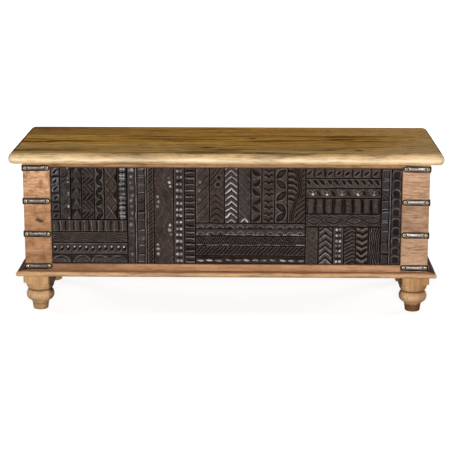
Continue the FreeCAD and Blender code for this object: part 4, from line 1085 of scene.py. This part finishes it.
def strap(height, shine, lean, seed):
    """One strap at the back right corner, as rings of points along it, in millimetres."""
    plain, glare, spread = shine
    reach = [STRAP_ARM * math.sin(step * math.pi / 2 / STRAP_STEPS) for step in range(STRAP_STEPS + 1)]
    arm = [length for length in reach if length > NEAR_CORNER]
    stations = [(-length, (CASE_X - length, CASE_Y), (0, 1)) for length in reversed(arm)]
    for turn in range(0, 91, 15):
        angle = math.radians(90 - turn)
        stations.append((0, (CASE_X, CASE_Y), (math.cos(angle), math.sin(angle))))
    stations += [(length, (CASE_X, CASE_Y - length), (1, 0)) for length in arm]
    rises = np.linspace(-1, 1, 15)
    dents = smooth_noise(seed, (len(stations), len(rises)), (3, 3)) * HAMMER_DENT
    edge = smooth_noise(seed + 1, (len(stations), 2), (5, 1)) * EDGE_WOBBLE
    glint = smooth_noise(seed + 2, (len(stations), 2), (7, 1))
    points = []
    burnish = []
    for number, (length, foot, out) in enumerate(stations):
        past_eye = max(0, abs(length) - NAIL_PLACES[1])
        tall = math.sqrt(max(0.3, (STRAP_TALL / 2) ** 2 - past_eye ** 2)) + edge[number, 0]
        leaning = height + lean * abs(length) / STRAP_ARM
        off_middle = (2 * abs(length) - sum(NAIL_PLACES)) / (NAIL_PLACES[1] - NAIL_PLACES[0])
        half_rib = RIB_WIDTH / 2 * (RIB_WAIST + RIB_FLARE * off_middle ** 2)
        bulge = CORNER_BULGE * math.exp(-(length / CORNER_REACH) ** 2)
        crest = HIGHLIGHT_PLACE + HIGHLIGHT_WANDER * glint[number, 0]
        for rise_share, dent in zip(rises, dents[number]):
            across = rise_share * tall
            share = across / half_rib
            to_nail = min(math.hypot(abs(length) - nail, across) for nail in NAIL_PLACES)
            rib = math.sqrt(max(0, 1 - share ** 2)) * rise(to_nail, *EYE_CLEAR) * (abs(off_middle) < 1)
            off = STRAP_THICK + bulge + RIB_HEIGHT * rib - EDGE_SOFT * rise_share ** 8 - HAMMER_DENT
            off += dent * (0.35 + 0.65 * rib)
            points.append((foot[0] + out[0] * off, foot[1] + out[1] * off, leaning + across))
            # A painted highlight along the upper side of the rib, mottled by the hammering, over the
            # burnished rib.
            beaten = 0.70 + 0.80 * glint[number, 1] + 0.5 * dent / HAMMER_DENT
            burnish.append(rib * (plain + glare * beaten * math.exp(-((share - crest) / spread) ** 2)))
        points += [(*foot, leaning + rise_share * tall) for rise_share in reversed(rises)]
        burnish += [0] * len(rises)
    return points, tube_faces(len(stations), 2 * len(rises)), burnish


def add_mirrored(points, faces, new_points, new_faces, x_side, y_side):
    """Adds a shape that was made at the back right corner to the mesh of another corner."""
    first = len(points)
    points += [(x * x_side * MM, y * y_side * MM, z * MM) for x, y, z in new_points]
    faces += [tuple(first + at for at in face) for face in new_faces]


forged_iron = hammered_iron("hammered_blackened_iron", "#30271f", "#a39b96")
for number, (corner, sides) in enumerate(CORNERS.items()):
    points, faces, burnish = [], [], []
    for place, (height, lean) in enumerate(zip(STRAP_HEIGHTS, STRAP_LEANS[number])):
        bent, joined, bright = strap(height, RIB_BURNISH_AND_HIGHLIGHT[sides[0]], lean, 300 + 10 * number + place)
        add_mirrored(points, faces, bent, joined, *sides)
        burnish += bright
    add_piece("iron_straps_" + corner, points, faces, forged_iron, "forged_iron", "corner_straps_" + corner,
              burnish=burnish)

# Strap nails
# Cast brass nails, two driven through each arm of a strap. Each has a low domed head, dimpled by the
# punch that set it, with dirt left in the dimple and round the rim.
NAIL_RADIUS = 5.0
NAIL_CROWN = 1.9
DIMPLE_RADIUS = 2.3
DIMPLE_DEEP = 1.3
NAIL_SIDES = 20
NAIL_SIZES = (0.92, 1.0)


def cast_brass(name):
    """Cast brass, tumbled and left to tarnish: pale on the dome, brown in the dimple and at the rim."""
    patch = 3
    material, add = new_material(name)
    place = add("TexCoord", {}, "Object")
    grime = add("Attribute", {}, "Fac", attribute_name="grime")
    cloud = add("TexNoise", {"Vector": place, "Scale": 1 / (patch * MM), "Detail": 2.0})
    shade = add("MixRGB", {"Fac": cloud, "Color1": colour("#d3cab0"), "Color2": colour("#a0946f")})
    shade = add("MixRGB", {"Fac": grime, "Color1": shade, "Color2": colour("#2e2318")})
    dull = add("MapRange", {"Value": cloud, "To Min": 0.35, "To Max": 0.55})
    surface = add("BsdfPrincipled", {"Base Color": shade, "Metallic": 1.0, "Roughness": dull})
    add("OutputMaterial", {"Surface": surface})
    return material


def nail_head():
    """Rings of a nail head as (radius, height, grime), from its rim to the bottom of its dimple."""
    rings = [(NAIL_RADIUS, -0.6, 1.0), (NAIL_RADIUS, 0.1, 0.6)]
    for turn in range(15, 61, 15):
        angle = math.radians(turn)
        rings.append((NAIL_RADIUS * math.cos(angle), NAIL_CROWN * math.sin(angle), 0.0))
    top = NAIL_CROWN * 0.95
    rings += [(DIMPLE_RADIUS, top, 0.5), (DIMPLE_RADIUS * 0.6, top - DIMPLE_DEEP * 0.7, 1.0)]
    return rings + [(DIMPLE_RADIUS * 0.15, top - DIMPLE_DEEP, 1.0)]


def driven_nail(nail, level, arm, size):
    """The points of one nail head on an arm of a strap at the back right corner, in millimetres."""
    points = []
    for radius, out, _ in head:
        for side in range(NAIL_SIDES):
            turn = math.tau * side / NAIL_SIDES
            around, up = radius * size * math.cos(turn), radius * size * math.sin(turn)
            x, y = CASE_X - nail + around, CASE_Y + STRAP_THICK + out
            if arm == "side":
                x, y = CASE_X + STRAP_THICK + out, CASE_Y - nail + around
            points.append((x, y, level + up))
    return points


head = nail_head()
head_faces = tube_faces(len(head), NAIL_SIDES)
head_grime = [grime for radius, out, grime in head for side in range(NAIL_SIDES)]
points, faces, grimes = [], [], []
draws = np.random.default_rng(7)
for sides, leans in zip(CORNERS.values(), STRAP_LEANS):
    for height, lean in zip(STRAP_HEIGHTS, leans):
        for nail in NAIL_PLACES:
            for arm in ("back", "side"):
                level = height + lean * nail / STRAP_ARM
                driven = driven_nail(nail, level, arm, draws.uniform(*NAIL_SIZES))
                add_mirrored(points, faces, driven, head_faces, *sides)
                grimes += head_grime
add_piece("brass_nails", points, faces, cast_brass("cast_tarnished_brass"), "brass_nail", "strap_nails",
          grime=grimes)

# Lid planks
# Three wide mango planks glued edge to edge, with one rounded edge run round all of them by a plane.
# The top is oiled golden brown. The edge is sanded back to pale wood and rubbed by hands. A painted
# highlight runs along its foremost line, painted light pales its underside, the paleness fades towards
# the top as painted shade, and the ends are darkened by end grain and painted shade.
LID_TOP_RADIUS = 18.0
LID_UNDER_RADIUS = 12.0
LID_CORNER_RADIUS = 20.0
LID_STATION = 12.0
LID_ROUGH = 0.75
SEAM_EASE = 0.7
# Paleness of the lid's edge: wear, with painted light on the underside and painted shade towards the top.
UNDER_WEAR_AND_BOUNCE = 0.34
FRONT_WEAR = 0.22
TOP_WEAR_AND_SHADE = 0.62
HIGHLIGHT_AND_WEAR = 0.44
HIGHLIGHT_TURN = math.radians(13)
NOSE_REACH = (12, 50)
SIDE_UNWORN = (20, 6)
REAR_UNWORN = (40, 3)
REAR_LESS = 0.85
END_GRAIN_AND_SHADE = 0.96
END_GRAIN_AND_SHADE_BANDS = ((18, 12), (14, 8))
LID_TONES = {
    "front": ("#d4ab6a", "#c49b54", "#9d783a", "#5c411a"),
    "middle": ("#e0ae56", "#d09a40", "#a87424", "#4f300c"),
    "back": ("#daa654", "#ca9238", "#9c681e", "#4f2c0a"),
}
LID_KNOTS = {
    "front": (((-0.056, -0.129, 0.469), 10.0), ((0.107, -0.208, 0.469), 7.0), ((0.374, -0.172, 0.469), 9.0)),
    "middle": (((0.073, 0.016, 0.469), 10.0), ((-0.549, -0.048, 0.469), 12.0)),
    "back": (((0.300, 0.150, 0.469), 7.0),),
}
LID_HEARTS = {
    "front": (("X", 0.36, 0.58, 0.5, "#d9b184"),),
    "middle": (("X", 0.40, 0.58, 0.6, "#dcb478"),),
    "back": (("Y", 0.16, 0.09, 0.5, "#e0ac58"), ("X", 0.15, -0.58, 0.45), ("X", 0.15, 0.5, 0.5, "#dab06e")),
}


def highlight_and_wear_line(turn):
    """A painted highlight with extra wear along the foremost line of the lid's edge, by the turn of the edge
    away from it.
    """
    return HIGHLIGHT_AND_WEAR * math.exp(-(turn / HIGHLIGHT_TURN) ** 2)


def lid_rings():
    """Rings of the lid's edge as (inset, height above its underside, wear and painted light), from below to
    the top.
    """
    thick = (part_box("lid_plank_front")[1].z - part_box("lid_plank_front")[0].z) / MM
    turns = [math.radians(turn) for turn in range(0, 91, 10)]
    # The underside is painted paler as if lit from below, the paleness fades to the top as painted shade, and
    # a painted highlight runs along the foremost line.
    under = [(LID_UNDER_RADIUS * (1 - math.sin(turn)), LID_UNDER_RADIUS * (1 - math.cos(turn)),
              UNDER_WEAR_AND_BOUNCE + FRONT_WEAR * math.sin(turn) ** 2 + highlight_and_wear_line(turn - math.pi / 2))
             for turn in turns]
    over = [(LID_TOP_RADIUS * (1 - math.cos(turn)), thick - LID_TOP_RADIUS * (1 - math.sin(turn)),
             TOP_WEAR_AND_SHADE * math.cos(turn) ** 1.3 + highlight_and_wear_line(turn)) for turn in turns]
    return under + over


def lid_outline(inset, half_x, half_y):
    """The lid's outline drawn in by an inset, as points round its corners and along its sides."""
    radius = LID_CORNER_RADIUS - inset
    points = []
    for corner, (sign_x, sign_y) in enumerate(((1, -1), (1, 1), (-1, 1), (-1, -1))):
        middle = Vector((sign_x * (half_x - LID_CORNER_RADIUS), sign_y * (half_y - LID_CORNER_RADIUS)))
        for step in range(9):
            turn = math.radians(corner * 90 - 90 + step * 11.25)
            points.append(middle + Vector((math.cos(turn), math.sin(turn))) * radius)
    outline = []
    for place, point in enumerate(points):
        after = points[(place + 1) % len(points)]
        count = max(1, int((after - point).length / LID_STATION))
        outline += [point.lerp(after, step / count) for step in range(count)]
    return outline


def lid_plank(part, material):
    """A plank cut out of the rounded lid between two seams, with its seam edges eased."""
    whole_low, whole_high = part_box("lid_plank_front")[0] / MM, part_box("lid_plank_back")[1] / MM
    half_x, half_y = whole_high.x, whole_high.y
    low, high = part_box("lid_plank_" + part)
    bm = bmesh.new()
    worn = bm.verts.layers.float.new("edge")
    sawn = bm.verts.layers.float.new("end")
    rings = lid_rings()
    verts = []
    for inset, height, wear in rings:
        for point in lid_outline(inset, half_x, half_y):
            vert = bm.verts.new((point.x * MM, point.y * MM, (whole_low.z + height) * MM))
            to_side, to_rear = abs(point.x) - half_x, point.y - half_y
            sideways, rear, end = [
                rise(reach, -start, -full) for reach, (start, full) in (
                    (to_side, SIDE_UNWORN), (to_rear, REAR_UNWORN), (to_side, END_GRAIN_AND_SHADE_BANDS[point.x > 0]))]
            behind_nose = rise(point.y + half_y, *NOSE_REACH)
            # The edge measure: wear on the edge, with painted light and a painted highlight line.
            vert[worn] = wear * (1 - sideways * behind_nose) * (1 - REAR_LESS * rear)
            # The ends are darker: end grain, with painted shade where the rounded ends turn from the light.
            vert[sawn] = END_GRAIN_AND_SHADE * behind_nose * end
            verts.append(vert)
    for face in tube_faces(len(rings), len(verts) // len(rings)):
        bm.faces.new([verts[at] for at in face])
    for seam, way in ((low.y, -1), (high.y, 1)):
        if abs(seam) > (half_y - SEAM_EASE) * MM:
            continue
        everything = bm.verts[:] + bm.edges[:] + bm.faces[:]
        sliced = bmesh.ops.bisect_plane(
            bm, geom=everything, plane_co=(0, seam, 0), plane_no=(0, way, 0), clear_outer=True)
        edges = [item for item in sliced["geom_cut"] if isinstance(item, bmesh.types.BMEdge)]
        bmesh.ops.contextual_create(bm, geom=edges)
        bmesh.ops.recalc_face_normals(bm, faces=bm.faces)
        bmesh.ops.bevel(bm, geom=edges, offset=SEAM_EASE * MM, segments=2, profile=0.5, affect="EDGES")
    bmesh.ops.recalc_face_normals(bm, faces=bm.faces)
    mesh = bpy.data.meshes.new("plank_" + part)
    bm.to_mesh(mesh)
    bm.free()
    set_piece("plank_" + part, mesh, material, "lid", "lid_plank_" + part, 35)


for number, part in enumerate(("front", "middle", "back")):
    oiled_mango = mango_wood(
        "oiled_mango_wood_plank_" + part, "x", LID_TONES[part], 44 + 3 * number, ring=34, streak=32, band=110,
        knots=LID_KNOTS[part], tone_and_shade_sides=LID_HEARTS[part], rubbed="#f8dfba", figure=(1.6, 0.7, 0.3),
        roughness=LID_ROUGH, gloss=WORN_GLOSS)
    lid_plank(part, oiled_mango)

# Battens under the lid
# Two sawn cross bars of bare mango wood with bevelled ends, screwed up into the planks to keep the lid
# flat. The screws are plain drawn steel.
batten_mango = mango_wood("sawn_bare_mango_wood_battens", "y", INNER_TONES, 57, roughness=BARE_ROUGH)
for side in ("left", "right"):
    dress("lid_batten_" + side, batten_mango)
dress("lid_batten_screws", drawn_steel("drawn_steel_screws", "#8d8a84", 0.45))

# Hinges
# Two butt hinges of rolled iron on the back: one leaf screwed to the case, one under the lid, turning
# on a pin with a small cap at each end.
rolled_iron = hammered_iron("rolled_blackened_iron", "#35312d", "#77716a")
for side in ("left", "right"):
    dress("hinge_leaf_case_" + side, rolled_iron)
    dress("hinge_leaf_lid_" + side, rolled_iron)
dress("hinge_pins", drawn_steel("drawn_steel_pins", "#8a867f", 0.4))
hinge_steel = drawn_steel("drawn_steel_hinge_screws", "#7d7973", 0.45)
dress("hinge_screws_case", hinge_steel)
dress("hinge_screws_lid", hinge_steel)

# Studio
# A white floor under a white sky, a broad soft lamp in front near the camera, a weak one overhead, and
# weak fills behind for the other sides.
FLOOR_SIZE = 30.0
AMBIENT = 0.12
WHITE = colour("#ffffff")


def shown(add):
    """1 on rays that show a surface to the camera, straight or by reflection, and 0 on light that bounces."""
    seen = add("LightPath", {}, "Is Camera Ray")
    for way in ("Glossy", "Transmission"):
        ray = add("LightPath", {}, f"Is {way} Ray")
        seen = add("Math", {0: seen, 1: ray}, operation="MAXIMUM")
    return seen


world = bpy.data.worlds.new("white_studio")
world.use_nodes = True
bpy.context.scene.world = world
world.node_tree.nodes.clear()
add = partial(add_node, world.node_tree)
ambient = add("Background", {"Color": WHITE, "Strength": AMBIENT})
backdrop = add("Background", {"Color": WHITE, "Strength": 1.0})
add("OutputWorld", {"Surface": add("MixShader", {0: shown(add), 1: ambient, 2: backdrop})})

half = FLOOR_SIZE / 2
floor_mesh = bpy.data.meshes.new("studio_floor")
floor_corners = [(-half, -half, 0), (half, -half, 0), (half, half, 0), (-half, half, 0)]
floor_mesh.from_pydata(floor_corners, [], [(0, 1, 2, 3)])
floor = bpy.data.objects.new("studio_floor", floor_mesh)
bpy.context.scene.collection.objects.link(floor)
white_paper, add = new_material("matt_white_paper")
far = add("VectorMath", {0: add("TexCoord", {}, "Object")}, "Value", operation="LENGTH")
lit = add("MapRange", {"Value": far, "From Min": 0.8, "From Max": 2.4, "To Min": 0.76, "To Max": 1.0})
glow = add("Math", {0: shown(add), 1: lit}, operation="MULTIPLY")
paper = add("BsdfDiffuse", {"Color": colour("#c8c8c8")})
lift = add("Emission", {"Color": WHITE, "Strength": glow})
add("OutputMaterial", {"Surface": add("AddShader", {0: paper, 1: lift})})
floor_mesh.materials.append(white_paper)

LAMPS = (
    ("front_softbox", (0.10, -4.45, 1.10), 1.5, 182.0),
    ("overhead_softbox", (0.0, -0.2, 3.4), 2.0, 14.0),
    ("back_left_fill", (-3.6, 2.4, 0.9), 2.0, 70.0),
    ("back_right_fill", (3.6, 2.4, 0.9), 2.0, 70.0),
)
LAMP_AIM = Vector((0, 0, 0.25))
for name, place, size, power in LAMPS:
    light = bpy.data.lights.new(name, "AREA")
    light.shape = "DISK"
    light.size = size
    light.energy = power
    lamp = bpy.data.objects.new(name, light)
    lamp.location = place
    lamp.rotation_euler = (LAMP_AIM - Vector(place)).to_track_quat("-Z", "Y").to_euler()
    bpy.context.scene.collection.objects.link(lamp)

# Camera
# Where the photograph was taken from, a little right of the middle and looking slightly down, with the
# lens that fits its edges.
camera = bpy.data.objects.new("camera", bpy.data.cameras.new("camera"))
camera.location = (0.0820, -4.2847, 1.2377)
camera.rotation_euler = (math.radians(76.535), 0, math.radians(1.183))
camera.data.sensor_width = 36.0
camera.data.lens = 118.83
bpy.context.scene.collection.objects.link(camera)
bpy.context.scene.camera = camera
bpy.context.scene.view_settings.view_transform = "Standard"
